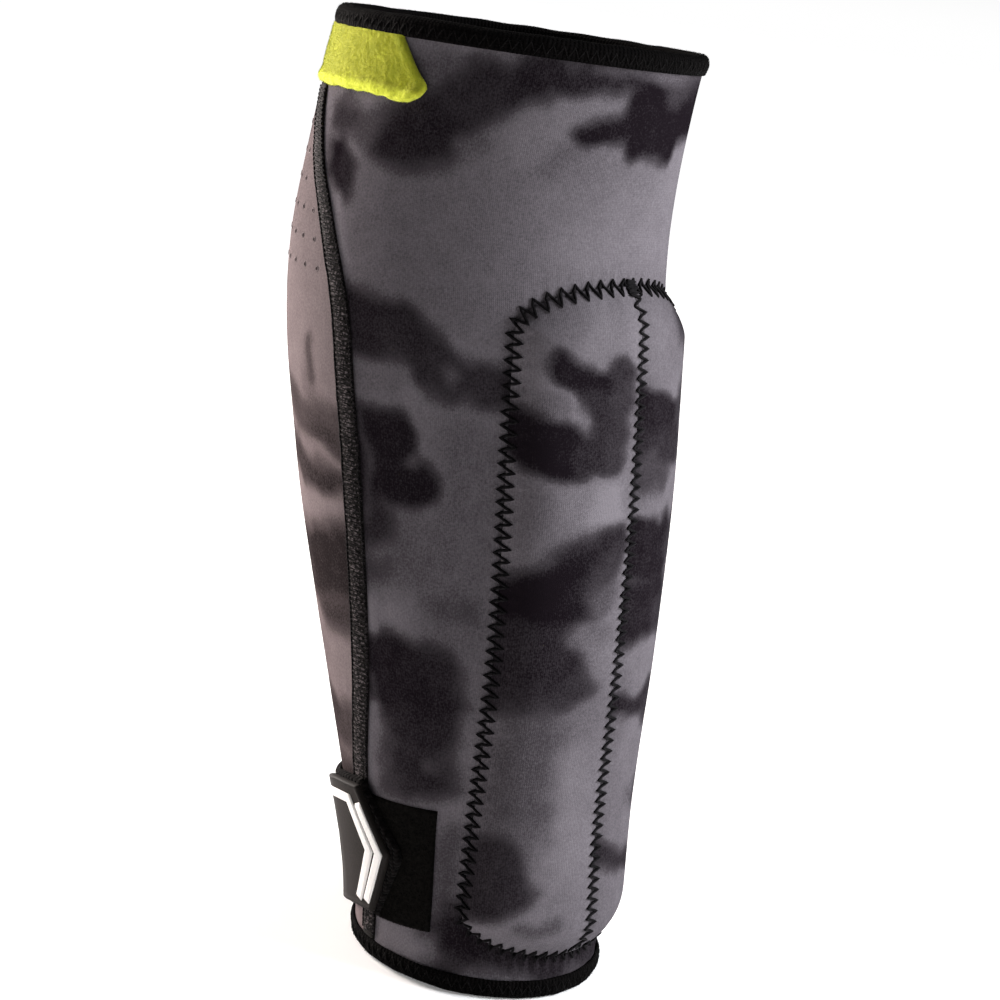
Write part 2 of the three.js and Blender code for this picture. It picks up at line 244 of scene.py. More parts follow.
def soft_noise(across, up, size, seed):
    # Swells about size across, from -1 to 1
    lattice = np.random.default_rng(seed).uniform(-1, 1, (256, 256))
    x, y = np.asarray(across) / size + 100, np.asarray(up) / size + 100
    i, j = np.floor(x).astype(int), np.floor(y).astype(int)
    s, t = smooth_step(x - i), smooth_step(y - j)
    corner = lambda a, b: lattice[(i + a) % 256, (j + b) % 256]
    low = corner(0, 0) * (1 - s) + corner(1, 0) * s
    high = corner(0, 1) * (1 - s) + corner(1, 1) * s
    return low * (1 - t) + high * t


def arc_radius(height):
    return smooth_through(LEG_SECTIONS, height) * (1 + WIDTH_TO_DEPTH) / 2


def angle_over(length, height):
    return np.degrees(length / arc_radius(height))


def arc_of(angle, height):
    return np.radians(angle) * arc_radius(height)


def seam_angle(height):
    return smooth_through(SEAM_PATH, height)


def on_leg(angle, height, out):
    turn = np.radians(angle)
    depth = smooth_through(LEG_SECTIONS, height, 1)
    x = -(WIDTH_TO_DEPTH * depth + out) * np.sin(turn)
    y = smooth_through(LEG_SECTIONS, height, 2) - (depth + out) * np.cos(turn)
    return np.stack(np.broadcast_arrays(x, y, height), axis=-1)


def pad_ends(share):
    # The pad's lowest and highest point at a share of its half width
    bow = 1 - np.sqrt(np.clip(1 - share ** 2, 0, 1))
    return PAD_BOTTOM + PAD_BOTTOM_ROUNDING * bow, PAD_TOP - PAD_TOP_ROUNDING * bow


def inside_pad(across, height):
    # Distance in from the pad's outline, negative outside it, and the way along that outline
    side = np.abs(across)
    half = smooth_through(PAD_HALF_WIDTHS, np.clip(height, PAD_BOTTOM, PAD_TOP))
    low, high = pad_ends(side / half)
    from_side = half - side
    from_end = np.minimum(height - low, high - height)
    along = np.where(from_side < from_end, height, across)
    return np.minimum(from_side, from_end), along


def edge_wander(across, up, seed):
    return PRINT_WANDER * (soft_noise(across, up, 11, seed) + 0.5 * soft_noise(across, up, 5, seed + 3))


def print_tone(across, up, blotches, seed, blur):
    x = across + edge_wander(across, up, seed)
    y = up + edge_wander(across, up, seed + 1)
    tone = PRINT_GROUND + 0.1 * soft_noise(across, up, 24, seed + 2)
    for x0, y0, x1, y1, radius, shade, *own_blur in blotches:
        soft = own_blur[0] if own_blur else blur
        dx, dy = x1 - x0, y1 - y0
        share = np.clip(((x - x0) * dx + (y - y0) * dy) / (dx * dx + dy * dy), 0, 1)
        beyond = np.hypot(x - x0 - share * dx, y - y0 - share * dy) - radius
        cover = 1 - smooth_step((beyond + soft) / (2 * soft))
        tone = tone + (shade - tone) * cover
    return tone


def soft_wall(across, height, rise, size, seed):
    # The wall swells softly between the hems and is gathered beside them
    from_hem = HEIGHT / 2 - np.abs(height - HEIGHT / 2)
    swell = rise * soft_noise(across, height, size, seed) * smooth_step((from_hem - 4) / 12)
    low, high = (height - GATHER_FROM) / GATHER_FADE, (HEIGHT - GATHER_FROM - height) / GATHER_FADE
    gather = soft_noise(across, 0.2 * height, GATHER_SIZE, seed + 1)
    return swell + GATHER_DEPTH * (np.exp(-low) + np.exp(-high)) * gather


def front_relief(across, height):
    # The front is also drawn in along the pad's stitches and puckers between them
    inside, along = inside_pad(across, height)
    draw = -SEWN_DEPTH * bump_at(inside, SEWN_WIDTH)
    rise = PUCKER_RISE + LOW_PUCKER_RISE * smooth_step((40 - height) / 20)
    pucker = rise * ripple(along, ZIGZAG_PITCH) * bump_at(inside + 3.4, SEWN_WIDTH)
    return soft_wall(across, height, *FRONT_SWELL) + draw + pucker


def grid_faces(rows, columns):
    index = np.arange(rows * columns).reshape(rows, columns)
    faces = np.stack([index[:-1, :-1], index[1:, :-1], index[1:, 1:], index[:-1, 1:]], -1)
    border = np.concatenate([index[0, :-1], index[:-1, -1], index[-1, :0:-1], index[:0:-1, 0]])
    return faces.reshape(-1, 4), border


def give_tone(mesh, tone):
    values = mesh.attributes.new("tone", "FLOAT", "POINT").data
    values.foreach_set("value", tone.astype(np.float32).ravel())


def add_object(name, data):
    piece = bpy.data.objects.new(name, data)
    scene.collection.objects.link(piece)
    return piece


def cloth_object(name, points, faces, flat, tone, smooth=True):
    # points in millimetres; flat holds each face corner's place on the cut cloth
    mesh = bpy.data.meshes.new(name)
    mesh.from_pydata((points * MM).tolist(), [], faces.tolist())
    layer = mesh.uv_layers.new(name="cloth")
    layer.data.foreach_set("uv", (flat * MM).astype(np.float32).ravel())
    give_tone(mesh, tone)
    mesh.polygons.foreach_set("use_smooth", np.full(len(faces), smooth))
    mesh.update()
    return add_object(name, mesh)


def slab(name, angle, height, low, high, flat, tone=None):
    # A closed piece of cloth between two faces off the leg. Its rim and inner face take the second
    # material, and lie apart from the outer face on the flat measure.
    rows, columns = angle.shape
    count = rows * columns
    face, border = grid_faces(rows, columns)
    following = np.roll(border, -1)
    rim = np.stack([border, following, following + count, border + count], -1)
    points = np.concatenate([on_leg(angle, height, out).reshape(-1, 3) for out in (high, low)])
    place = np.stack(np.broadcast_arrays(*flat), -1).reshape(-1, 2)
    inner, edge = place[face[:, ::-1]] + (FLAT_APART, 0), place[rim % count] + (0, FLAT_APART)
    corners = np.concatenate([place[face], inner, edge])
    tone = np.zeros(count) if tone is None else tone.ravel()
    faces = np.concatenate([face, face[:, ::-1] + count, rim])
    piece = cloth_object(name, points, faces, corners.reshape(-1, 2), np.tile(tone, 2))
    shown = np.repeat([0, 1, 1], [len(face), len(face), len(rim)])
    piece.data.polygons.foreach_set("material_index", shown.astype(np.int32))
    return piece


def new_material(name, roughness, sheen=0.0, gloss=0.03):
    material = bpy.data.materials.new(name)
    material.use_nodes = True
    shader = material.node_tree.nodes["Principled BSDF"]
    shader.inputs["Roughness"].default_value = roughness
    shader.inputs["Specular IOR Level"].default_value = gloss
    shader.inputs["Sheen Weight"].default_value = sheen
    shader.inputs["Sheen Roughness"].default_value = 0.5
    return material, shader


def add_node(owner, kind, settings=(), **inputs):
    # A node of a material, a world or a tree. Inputs go by name, or by place as _0, _1 and so on.
    tree = getattr(owner, "node_tree", owner)
    node = tree.nodes.new(kind)
    for name, value in dict(settings).items():
        setattr(node, name, value)
    for name, value in inputs.items():
        socket = node.inputs[int(name[1:]) if name[1:].isdigit() else name.replace("_", " ")]
        if isinstance(value, bpy.types.NodeSocket):
            tree.links.new(value, socket)
        else:
            socket.default_value = value
    return node


def sum_of(owner, operation, first, second=0.0, third=0.0):
    node = add_node(owner, "ShaderNodeMath", {"operation": operation}, _0=first, _1=second, _2=third)
    return node.outputs[0]


def off_middle(material, value, middle, share):
    return sum_of(material, "MULTIPLY", sum_of(material, "SUBTRACT", value, middle), share)


def mottle(material, scale, detail=2.0):
    place = add_node(material, "ShaderNodeTexCoord").outputs["Object"]
    return add_node(material, "ShaderNodeTexNoise", Vector=place, Scale=scale, Detail=detail).outputs["Fac"]


# Reads the stored tone: print on the knits, painted light on the felt tab and the badge rim.
def print_and_painted_light(material):
    return add_node(material, "ShaderNodeAttribute", {"attribute_name": "tone"}).outputs["Fac"]


def give_colour(material, shader, tone, *stops):
    ramp = add_node(material, "ShaderNodeValToRGB", Fac=tone)
    elements = ramp.color_ramp.elements
    while len(elements) < len(stops):
        elements.new(0.5)
    for element, (place, colour) in zip(elements, stops):
        element.position = place
        element.color = (*colour, 1)
    material.node_tree.links.new(ramp.outputs["Color"], shader.inputs["Base Color"])


def knit_height(material, wale, course):
    # Columns of V-shaped loops on the cloth's own flat measure
    flat = add_node(material, "ShaderNodeUVMap", {"uv_map": "cloth"}).outputs["UV"]
    split = add_node(material, "ShaderNodeSeparateXYZ", Vector=flat)
    turn = sum_of(material, "MULTIPLY", split.outputs["X"], math.pi / (wale * MM))
    ribs = sum_of(material, "ABSOLUTE", sum_of(material, "SINE", turn))
    up = sum_of(material, "MULTIPLY", split.outputs["Y"], 2 * math.pi / (course * MM))
    loops = sum_of(material, "SINE", sum_of(material, "MULTIPLY_ADD", ribs, 2.5, up))
    return sum_of(material, "MULTIPLY_ADD", loops, 0.35, ribs), ribs


def give_bump(material, shader, height, distance, strength=1.0):
    bump = add_node(material, "ShaderNodeBump", Height=height, Distance=distance * MM, Strength=strength)
    material.node_tree.links.new(bump.outputs["Normal"], shader.inputs["Normal"])


def printed_knit(name, dark, middle, light):
    material, shader = new_material(name, 0.85, gloss=0)
    grain = off_middle(material, mottle(material, 1500), 0.5, 0.5)
    cloud = off_middle(material, mottle(material, 160), 0.5, 0.16)
    loops, ribs = knit_height(material, 0.6, 0.55)
    weave = off_middle(material, ribs, 0.64, 0.05)
    tone = print_and_painted_light(material)
    for change in (grain, cloud, weave):
        tone = sum_of(material, "ADD", tone, change)
    give_colour(material, shader, tone, (0.0, dark), (0.45, middle), (1.0, light))
    give_bump(material, shader, loops, 0.06, 0.6)
    return material


def plain_jersey():
    material, shader = new_material("plain jersey", 0.9, sheen=0.04)
    give_colour(material, shader, mottle(material, 900), (0.25, (0.008, 0.0076, 0.0084)),
                (0.75, (0.022, 0.021, 0.023)))
    loops, _ = knit_height(material, 1.4, 1.1)
    give_bump(material, shader, loops, 0.2, 0.6)
    return material


def fit(piece, slot, *materials, replaces=None):
    for material in materials:
        piece.data.materials.append(material)
    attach(piece, "root")
    if replaces:
        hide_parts(replaces)


def panel(name, start, end, middle, grid, relief, blotches, seed):
    rows, columns = grid
    height = np.linspace(HEM_ALLOWANCE, HEIGHT - HEM_ALLOWANCE, rows)[:, None]
    share = np.linspace(0, 1, columns)[None, :]
    angle = start(height) + (end(height) - start(height)) * share
    across = arc_of(angle - middle, height)
    height = np.broadcast_to(height, angle.shape)
    tone = print_tone(across, height, blotches, seed, PANEL_PRINT_BLUR)
    piece = slab(name, angle, height, -WALL, relief(across, height), (across, height), tone)
    cut_area = np.mean(across[:, -1] - across[:, 0]) * (HEIGHT - 2 * HEM_ALLOWANCE)
    return piece, cut_area * MM ** 2


def front_edge(height):
    return seam_angle(height) - angle_over(GAP / 2, height)


front_knit = printed_knit("printed knit", (0.0072, 0.0053, 0.007), (0.045, 0.0395, 0.0445),
                          (0.15, 0.136, 0.15))
jersey = plain_jersey()
front, front_area = panel("front_cloth", lambda z: -front_edge(z), front_edge, 0, FRONT_GRID,
                          front_relief, PANEL_PRINT, FRONT_PRINT_SEED)
fit(front, "neoprene", front_knit, jersey, replaces="front_panel")

# Calf panel
# A leaf of the same neoprene and print, its knit colour painted lighter and warmer with warm light, pierced
# with air holes at the top.
# Its long edges meet the front panel's under the two seams.
BACK_MIDDLE = 180
BACK_GRID = (180, 140)
BACK_SWELL = (0.35, 28, 8)
BACK_PRINT_SEED = 40
HOLES_FROM = 219.5
HOLES_TO = 284
HOLE_ROW = 8.5
HOLE_PITCH = 8
HOLE_RADIUS = 0.72
HOLE_RIM = 0.2
HOLE_DEPTH = 0.12
HOLE_MARGIN = 8
BACK_PRINT = (  # as for the front, with across measured from the middle of the calf
    (-10, 236, 30, 240, 14, 0.56, 10),
    (58, 184, 72, 168, 13, 0.56, 10),
    (-22, 146, 6, 142, 12, 0.56, 9),
    (-40, 96, -20, 90, 10, 0.58, 8),
    (-78, 197, -75, 184, 2.5, 0.3),
    (-95, 171, -62, 173, 7, 0.26, 4),
    (-86, 167, -76, 169, 4, 0.14, 3),
    (-62, 176, -48, 180, 6, 0.26, 4),
    (-46, 182, -36, 178, 5, 0.34, 5),
    (-94, 154.5, -60, 155.5, 4.5, 0.1, 3),
    (-58, 157, -44, 160, 6, 0.16, 4),
    (-42, 162, -30, 158, 6, 0.24, 5),
    (-26, 154, -22, 150, 4, 0.36, 5),
    (-82, 132, -54, 125, 11, 0.02, 5),
    (-80, 115, -60, 112, 6, 0.15, 5),
    (-46, 124, -34, 130, 9, 0.1, 5),
    (-32, 128, -18, 121, 8, 0.14, 5),
    (-18, 119, -6, 112, 6.5, 0.2, 5),
    (-4, 113, 4, 117, 4.5, 0.32, 5),
    (-30, 116, -33, 106, 5, 0.3, 5),
    (-66, 76, -50, 74, 8, 0.22, 4),
    (-46, 76, -36, 70, 8, 0.14, 4),
    (-34, 68, -26, 60, 6, 0.22, 5),
    (-58, 58, -42, 57, 6, 0.2, 4),
    (-40, 262, -22, 268, 8, 0.2, 5),
    (-22, 268, -8, 262, 9, 0.12, 5),
    (-8, 262, 2, 252, 7, 0.18, 5),
    (2, 251, 13, 249, 5, 0.3, 5),
    (-26, 256, -30, 246, 5, 0.3, 5),
    (-10, 270, -4, 278, 4, 0.36, 5),
    (30, 276, 42, 271, 7, 0.2, 5),
    (40, 268, 50, 258, 8, 0.14, 5),
    (50, 257, 62, 253, 7, 0.2, 5),
    (44, 254, 38, 245, 5, 0.3, 5),
    (-42, 213, -30, 219, 7, 0.22, 5),
    (-30, 217, -16, 210, 9, 0.12, 5),
    (-16, 208, -6, 200, 8, 0.15, 5),
    (-4, 199, 6, 203, 6, 0.25, 5),
    (-24, 202, -29, 192, 6, 0.24, 5),
    (-10, 193, -11, 186, 4.5, 0.34, 5),
    (26, 226, 40, 232, 7, 0.22, 5),
    (40, 229, 55, 221, 9, 0.12, 5),
    (55, 218, 69, 211, 8, 0.16, 5),
    (70, 209, 82, 212, 6, 0.24, 5),
    (48, 212, 44, 203, 6, 0.25, 5),
    (62, 202, 66, 193, 5, 0.3, 5),
    (30, 216, 24, 211, 4, 0.36, 5),
    (-6, 176, 8, 182, 7, 0.22, 5),
    (8, 179, 23, 173, 9, 0.12, 5),
    (24, 170, 39, 163, 9, 0.1, 5),
    (41, 162, 54, 166, 7, 0.18, 5),
    (55, 169, 62, 177, 5, 0.3, 5),
    (16, 163, 10, 153, 6, 0.24, 5),
    (34, 153, 30, 145, 5, 0.3, 5),
    (34, 128, 46, 134, 6, 0.24, 5),
    (45, 130, 59, 122, 9, 0.12, 5),
    (60, 119, 72, 124, 8, 0.15, 5),
    (73, 127, 80, 135, 6, 0.2, 5),
    (52, 111, 48, 101, 6, 0.22, 5),
    (62, 107, 70, 101, 5, 0.3, 5),
    (36, 119, 28, 115, 4, 0.36, 5),
    (-12, 88, 0, 92, 6, 0.24, 5),
    (1, 89, 14, 83, 8, 0.14, 5),
    (15, 81, 26, 73, 8, 0.14, 5),
    (27, 72, 38, 76, 6, 0.22, 5),
    (8, 71, 4, 63, 5, 0.3, 5),
    (39, 79, 46, 87, 5, 0.3, 5),
)


def back_relief(across, height):
    return soft_wall(across, height, *BACK_SWELL)


def back_edge(height):
    return seam_angle(height) + angle_over(GAP / 2, height)


def start_tree(name, **inputs):
    # A tree of steps with named inputs, each given with its kind of socket
    tree = bpy.data.node_groups.new(name, "GeometryNodeTree")
    for title, kind in {"Geometry": "Geometry", **inputs}.items():
        tree.interface.new_socket(title.replace("_", " "), in_out="INPUT", socket_type="NodeSocket" + kind)
    tree.interface.new_socket("Geometry", in_out="OUTPUT", socket_type="NodeSocketGeometry")
    return tree, tree.nodes.new("NodeGroupInput").outputs


def step_in(tree, kind, settings=(), **inputs):
    return add_node(tree, kind, settings, **inputs).outputs


def vector_of(tree, operation, **inputs):
    return step_in(tree, "ShaderNodeVectorMath", {"operation": operation}, **inputs)[0]


def end_tree(tree, geometry, material):
    whole = step_in(tree, "GeometryNodeRealizeInstances", Geometry=geometry)[0]
    shaded = step_in(tree, "GeometryNodeSetMaterial", Geometry=whole, Material=material)[0]
    tree.links.new(shaded, tree.nodes.new("NodeGroupOutput").inputs["Geometry"])
    return tree


def lay_on_cloth(tree, cloth, place):
    # The spot on the cloth's surface, and the way it faces, at a place on its flat measure
    surface = step_in(tree, "GeometryNodeObjectInfo", {"transform_space": "ORIGINAL"}, Object=cloth)
    flat = step_in(tree, "GeometryNodeInputNamedAttribute", {"data_type": "FLOAT_VECTOR"}, Name="cloth")[0]
    normal = step_in(tree, "GeometryNodeInputNormal")[0]
    return [step_in(tree, "GeometryNodeSampleUVSurface", {"data_type": "FLOAT_VECTOR"}, Value=value,
                    Mesh=surface["Geometry"], Source_UV_Map=flat, Sample_UV=place)["Value"]
            for value in (place, normal)]


def grow(name, tree, start, **inputs):
    # Runs a tree on a start mesh and keeps the result as a plain mesh
    holder = add_object(name, start)
    modifier = holder.modifiers.new(name, "NODES")
    modifier.node_group = tree
    for item in tree.interface.items_tree:
        title = item.name.replace(" ", "_")
        if item.in_out == "INPUT" and title in inputs:
            modifier[item.identifier] = inputs[title]
    graph = bpy.context.evaluated_depsgraph_get()
    mesh = bpy.data.meshes.new_from_object(holder.evaluated_get(graph))
    bpy.data.objects.remove(holder)
    mesh.name = name
    return add_object(name, mesh)


def air_hole_tree(name, rim):
    tree, given = start_tree(name, Hole_Radius="Float", Rim_Radius="Float", Cloth="Object", Shade="Material")
    place = step_in(tree, "GeometryNodeInputPosition")[0]
    spot, facing = lay_on_cloth(tree, given["Cloth"], place)
    points = step_in(tree, "GeometryNodeMeshToPoints", Mesh=given["Geometry"])[0]
    capture = add_node(tree, "GeometryNodeCaptureAttribute")
    capture.capture_items.new("VECTOR", "facing")
    tree.links.new(points, capture.inputs["Geometry"])
    tree.links.new(facing, capture.inputs["facing"])
    moved = step_in(tree, "GeometryNodeSetPosition", Geometry=capture.outputs["Geometry"], Position=spot)[0]
    circle = "GeometryNodeCurvePrimitiveCircle"
    if rim:
        ring = step_in(tree, circle, Resolution=10, Radius=given["Hole Radius"])[0]
        section = step_in(tree, circle, Resolution=5, Radius=given["Rim Radius"])[0]
        stamp = step_in(tree, "GeometryNodeCurveToMesh", Curve=ring, Profile_Curve=section)[0]
    else:
        stamp = step_in(tree, "GeometryNodeMeshCone", Vertices=8, Side_Segments=1, Fill_Segments=1,
                        Radius_Top=0.0, Radius_Bottom=given["Hole Radius"], Depth=HOLE_DEPTH * MM)["Mesh"]
    turn = step_in(tree, "FunctionNodeAlignRotationToVector", {"axis": "Z"},
                   Vector=capture.outputs["facing"])[0]
    copies = step_in(tree, "GeometryNodeInstanceOnPoints", Points=moved, Instance=stamp, Rotation=turn)[0]
    return end_tree(tree, copies, given["Shade"])


def flat_points(name, places, edges=()):
    mesh = bpy.data.meshes.new(name)
    mesh.from_pydata([(x * MM, y * MM, 0) for x, y in places], list(edges), [])
    return mesh


def hole_places():
    places = []
    for row, up in enumerate(np.arange(HOLES_FROM, HOLES_TO, HOLE_ROW)):
        reach = np.radians(BACK_MIDDLE - seam_angle(up)) * arc_radius(up) - HOLE_MARGIN
        start = HOLE_PITCH / 2 * (row % 2)
        for step in range(-20, 21):
            across = start + HOLE_PITCH * step
            if abs(across) < reach:
                places.append((across, up))
    return places


def speckled(name, roughness, dark, light):
    material, shader = new_material(name, roughness)
    give_colour(material, shader, mottle(material, 700), (0.3, dark), (0.7, light))
    return material


# The calf knit is the front's print with painted warm light: its colours are lighter and warmer than the
# front knit's.
back_knit_painted_warm = printed_knit("calf knit painted warm", (0.0165, 0.0132, 0.0136), (0.076, 0.0612, 0.063),
                         (0.186, 0.152, 0.155))
back, back_area = panel("calf_cloth", back_edge, lambda z: 360 - back_edge(z), BACK_MIDDLE, BACK_GRID,
                        back_relief, BACK_PRINT, BACK_PRINT_SEED)
fit(back, "neoprene", back_knit_painted_warm, jersey, replaces="back_panel")
# Dark cones mark the uncut holes: the dark lining seen through each hole, plus painted shade inside it.
hole_lining_and_shade = speckled("hole_lining_and_shade", 1.0, (0.02, 0.014, 0.014), (0.04, 0.03, 0.03))
# The hole rims take the calf knit's colour, painted warm light included.
rim_knit = speckled("hole rim", 0.8, (0.1, 0.082, 0.084), (0.19, 0.156, 0.16))
for name, rim, shade in (("calf_air_holes", False, hole_lining_and_shade), ("calf_hole_rims", True, rim_knit)):
    holes = grow(name, air_hole_tree(name, rim), flat_points("hole places", hole_places()),
                 Hole_Radius=HOLE_RADIUS * MM, Rim_Radius=HOLE_RIM * MM, Cloth=back, Shade=shade)
    fit(holes, "neoprene")

# Side seams
# A flat band of black coverstitching lies over each joint of the two panels: a looper thread runs
# to and fro across the band, between a row of chain stitches along either edge.
SEAM_WIDTH = 8
SEAM_TAPE_WIDTH = 7.4
SEAM_THICKNESS = 0.5
SEAM_ROUNDING = 0.7
SEAM_GRID = (220, 17)
BINDING_HEIGHT = 6.3
UNDER_BINDING = HEIGHT - BINDING_HEIGHT - GAP
TAB_HEIGHT = 18
LOOPER_PITCH = 1.45
LOOPER_WIDTH = 6.9
LOOPER_RADIUS = 0.24
CHAIN_PITCH = 1.3
CHAIN_WIDTH = 0.5
CHAIN_RADIUS = 0.3
CHAIN_FROM_MIDDLE = 3.3
LOOPER_LIFT = 0.12
CHAIN_LIFT = 0.25
CHAIN_DENT = 0.2


def rounded_rim(distance, radius):
    return np.sqrt(np.clip(1 - (1 - np.clip(distance / radius, 0, 1)) ** 2, 0, 1))


def stitch_tree():
    # A thread laid to and fro along a flat path, then lifted onto the cloth that it is sewn to
    tree, given = start_tree("zigzag stitches", Pitch="Float", Width="Float", Thread_Radius="Float",
                             Lift="Float", Steps="Int", Cloth="Object", Thread="Material")
    half = sum_of(tree, "MULTIPLY", given["Pitch"], 0.5)
    path = step_in(tree, "GeometryNodeMeshToCurve", Mesh=given["Geometry"])[0]
    points = step_in(tree, "GeometryNodeResampleCurve", {"mode": "LENGTH"}, Curve=path, Length=half)[0]
    along = step_in(tree, "GeometryNodeInputTangent")[0]
    aside = vector_of(tree, "CROSS_PRODUCT", _0=along, _1=(0, 0, 1))
    parity = sum_of(tree, "MODULO", step_in(tree, "GeometryNodeInputIndex")[0], 2.0)
    reach = sum_of(tree, "MULTIPLY", sum_of(tree, "SUBTRACT", parity, 0.5), given["Width"])
    offset = vector_of(tree, "SCALE", _0=aside, Scale=reach)
    zigzag = step_in(tree, "GeometryNodeSetPosition", Geometry=points, Offset=offset)[0]
    fine = step_in(tree, "GeometryNodeSubdivideCurve", Curve=zigzag, Cuts=given["Steps"])[0]
    place = step_in(tree, "GeometryNodeInputPosition")[0]
    spot, facing = lay_on_cloth(tree, given["Cloth"], place)
    lift = vector_of(tree, "SCALE", _0=facing, Scale=given["Lift"])
    raised = vector_of(tree, "ADD", _0=spot, _1=lift)
    laid = step_in(tree, "GeometryNodeSetPosition", Geometry=fine, Position=raised)[0]
    section = step_in(tree, "GeometryNodeCurvePrimitiveCircle", Resolution=6,
                      Radius=given["Thread Radius"])[0]
    thread = step_in(tree, "GeometryNodeCurveToMesh", Curve=laid, Profile_Curve=section, Fill_Caps=True)[0]
    soft = step_in(tree, "GeometryNodeSetShadeSmooth", Geometry=thread)[0]
    return end_tree(tree, soft, given["Thread"])


def sew(name, path, cloth, thread, pitch, width, radius, lift, steps=4):
    edges = [(k, k + 1) for k in range(len(path) - 1)]
    return grow(name, zigzag_stitches, flat_points(name + " path", path, edges), Pitch=pitch * MM,
                Width=width * MM, Thread_Radius=radius * MM, Lift=lift * MM, Steps=steps, Cloth=cloth,
                Thread=thread)


def thread_material(name, dark, light, scale, dark_to=0.3, light_from=0.75):
    material, shader = new_material(name, 0.7, sheen=0.02)
    fibre = mottle(material, scale)
    give_colour(material, shader, fibre, (dark_to, dark), (light_from, light))
    give_bump(material, shader, fibre, 0.15, 0.7)
    return material


def join(name, parts):
    with bpy.context.temp_override(active_object=parts[0], selected_editable_objects=parts):
        bpy.ops.object.join()
    parts[0].name = name
    parts[0].data.name = name
    return parts[0]


def side_seam(side, top, name):
    height = np.linspace(BINDING_HEIGHT + GAP, top, SEAM_GRID[0])[:, None]
    across = np.linspace(-0.5, 0.5, SEAM_GRID[1])[None, :] * SEAM_TAPE_WIDTH
    angle = side * seam_angle(height) + angle_over(across, height)
    height, across = np.broadcast_arrays(height, across)
    edge = SEAM_TAPE_WIDTH / 2 - np.abs(across)
    crown = SEAM_THICKNESS * rounded_rim(edge, SEAM_ROUNDING)
    rows = -CHAIN_DENT * bump_at(np.abs(across) - CHAIN_FROM_MIDDLE, 0.7)
    waver = 0.1 * soft_noise(across, height, 3, 11)
    band = slab(name, angle, height, GAP / 2, GAP + 0.1 + crown + rows + waver, (across, height))
    fit(band, "seam_thread", seam_tape, seam_tape, replaces=name.replace("band", "seam"))
    ends = (BINDING_HEIGHT + 2, top - 1)
    parts = [sew(name + "_looper", [(0, z) for z in ends], band, seam_thread, LOOPER_PITCH, LOOPER_WIDTH,
                 LOOPER_RADIUS, LOOPER_LIFT, steps=3)]
    for row in (-CHAIN_FROM_MIDDLE, CHAIN_FROM_MIDDLE):
        parts.append(sew(name + "_chain", [(row, z) for z in ends], band, chain_thread, CHAIN_PITCH,
                         CHAIN_WIDTH, CHAIN_RADIUS, CHAIN_LIFT, steps=1))
    fit(join(name + "_stitches", parts), "seam_thread")


zigzag_stitches = stitch_tree()
seam_tape = thread_material("seam tape", (0.003, 0.0026, 0.0025), (0.016, 0.014, 0.013), 1500)
seam_black = (0.002, 0.0017, 0.0018)
seam_thread = thread_material("looper thread", seam_black, (0.14, 0.119, 0.124), 1100, 0.46, 0.75)
chain_thread = thread_material("chain thread", seam_black, (0.05, 0.042, 0.045), 1100, 0.5, 0.8)
side_seam(1, UNDER_BINDING - TAB_HEIGHT - GAP, "side_band_right")
side_seam(-1, UNDER_BINDING, "side_band_left")

# Shin pads
# Two foam lobes under the same printed knit stand up from the front panel, one each side of the shin.
# A wide black zigzag sews them down all round and along the hollow where they meet.
PAD_EDGE = 0.25
PAD_THICKNESS = 7
PAD_SLOPE = 13
PAD_VALLEY_DEPTH = 1.1
PAD_VALLEY_WIDTH = 9
PAD_ROWS = 260
PAD_COLUMNS = 46
ZIGZAG_RADIUS = 0.46
TOP_ZIGZAG_PITCH = 4.7
MIDDLE_ZIGZAG_PITCH = 3.55
TOP_ZIGZAG_SHARE = 0.9
TACK_PITCH = 1.1
ZIGZAG_LIFT = 0.3
TACK_LIFT = 0.6
SEWN_EDGE = 1.4
FILL_FRAMES = 18
FILL_PRESSURE = 3.0
FILL_CAP = 1.2
GUIDE_FROM = 8
GUIDE_TO = 236
GUIDE_HALF_WIDTH = 52
GUIDE_GRID = (230, 131)
PAD_PRINT_SEED = 24
PAD_PRINT_BLUR = 2.4
NEAR_PAD_PRINT = (  # as for the front panel
    (9, 203.5, 12, 180, 6.5, 0.2),
    (9, 204.5, 10, 203, 3.5, 0.16),
    # Painted highlight: the near lobe's top is lighter where it faces up into the light.
    (16, 223, 20, 214, 7, 0.85, 7),
    (34, 214, 30, 219, 7, 0.66, 6),
    (31, 204, 16, 199.5, 4.6, 0.0),
    (18, 196, 14, 190, 4, 0.14),
    (28, 192, 40, 193, 4.4, 0.62),
    (26, 181, 40, 183, 8, -0.02, 3),
    (28, 176, 36, 176, 5, -0.06, 3),
    (18, 180, 22, 178, 5, 0.12),
    (36, 165, 34, 157, 7, 0.62, 6),
    (12, 166, 13, 159, 5.5, 1.0, 4),
    (9, 150.5, 22, 147, 5.5, 0.14, 4),
    (13, 148, 24, 141, 5.5, 0.06, 5),
    (23, 140, 34, 134, 7.5, -0.06, 6),
    (24, 130, 39, 128, 8, -0.1, 6),
    (17, 141, 20, 130, 5.5, 0.02, 5),
    (9, 145, 13, 140, 4.5, 0.22, 4),
    (24, 118, 40, 118, 8, 0.12, 3.5),
    (20, 108, 40, 106, 9, 0.1, 4),
    (14, 106, 18, 104, 5, 0.2, 4),
    (26, 103, 40, 101, 6, 0.12, 3.5),
    (8, 136, 12, 134, 4, 0.5, 4),
    (8, 124, 15, 123, 4, 0.62, 4),
    (28, 90, 30, 66, 9.5, 0.5, 6),
    # Painted highlight: a light strip down the near lobe where it faces the light from the right.
    (12, 80, 12, 45, 5, 0.88, 6),
    (33, 47, 40, 40, 9.5, 0.16, 3.5),
    (29, 41, 38, 34, 8, 0.16, 3.5),
    (14, 27, 26, 26.5, 2, 0.5),
)
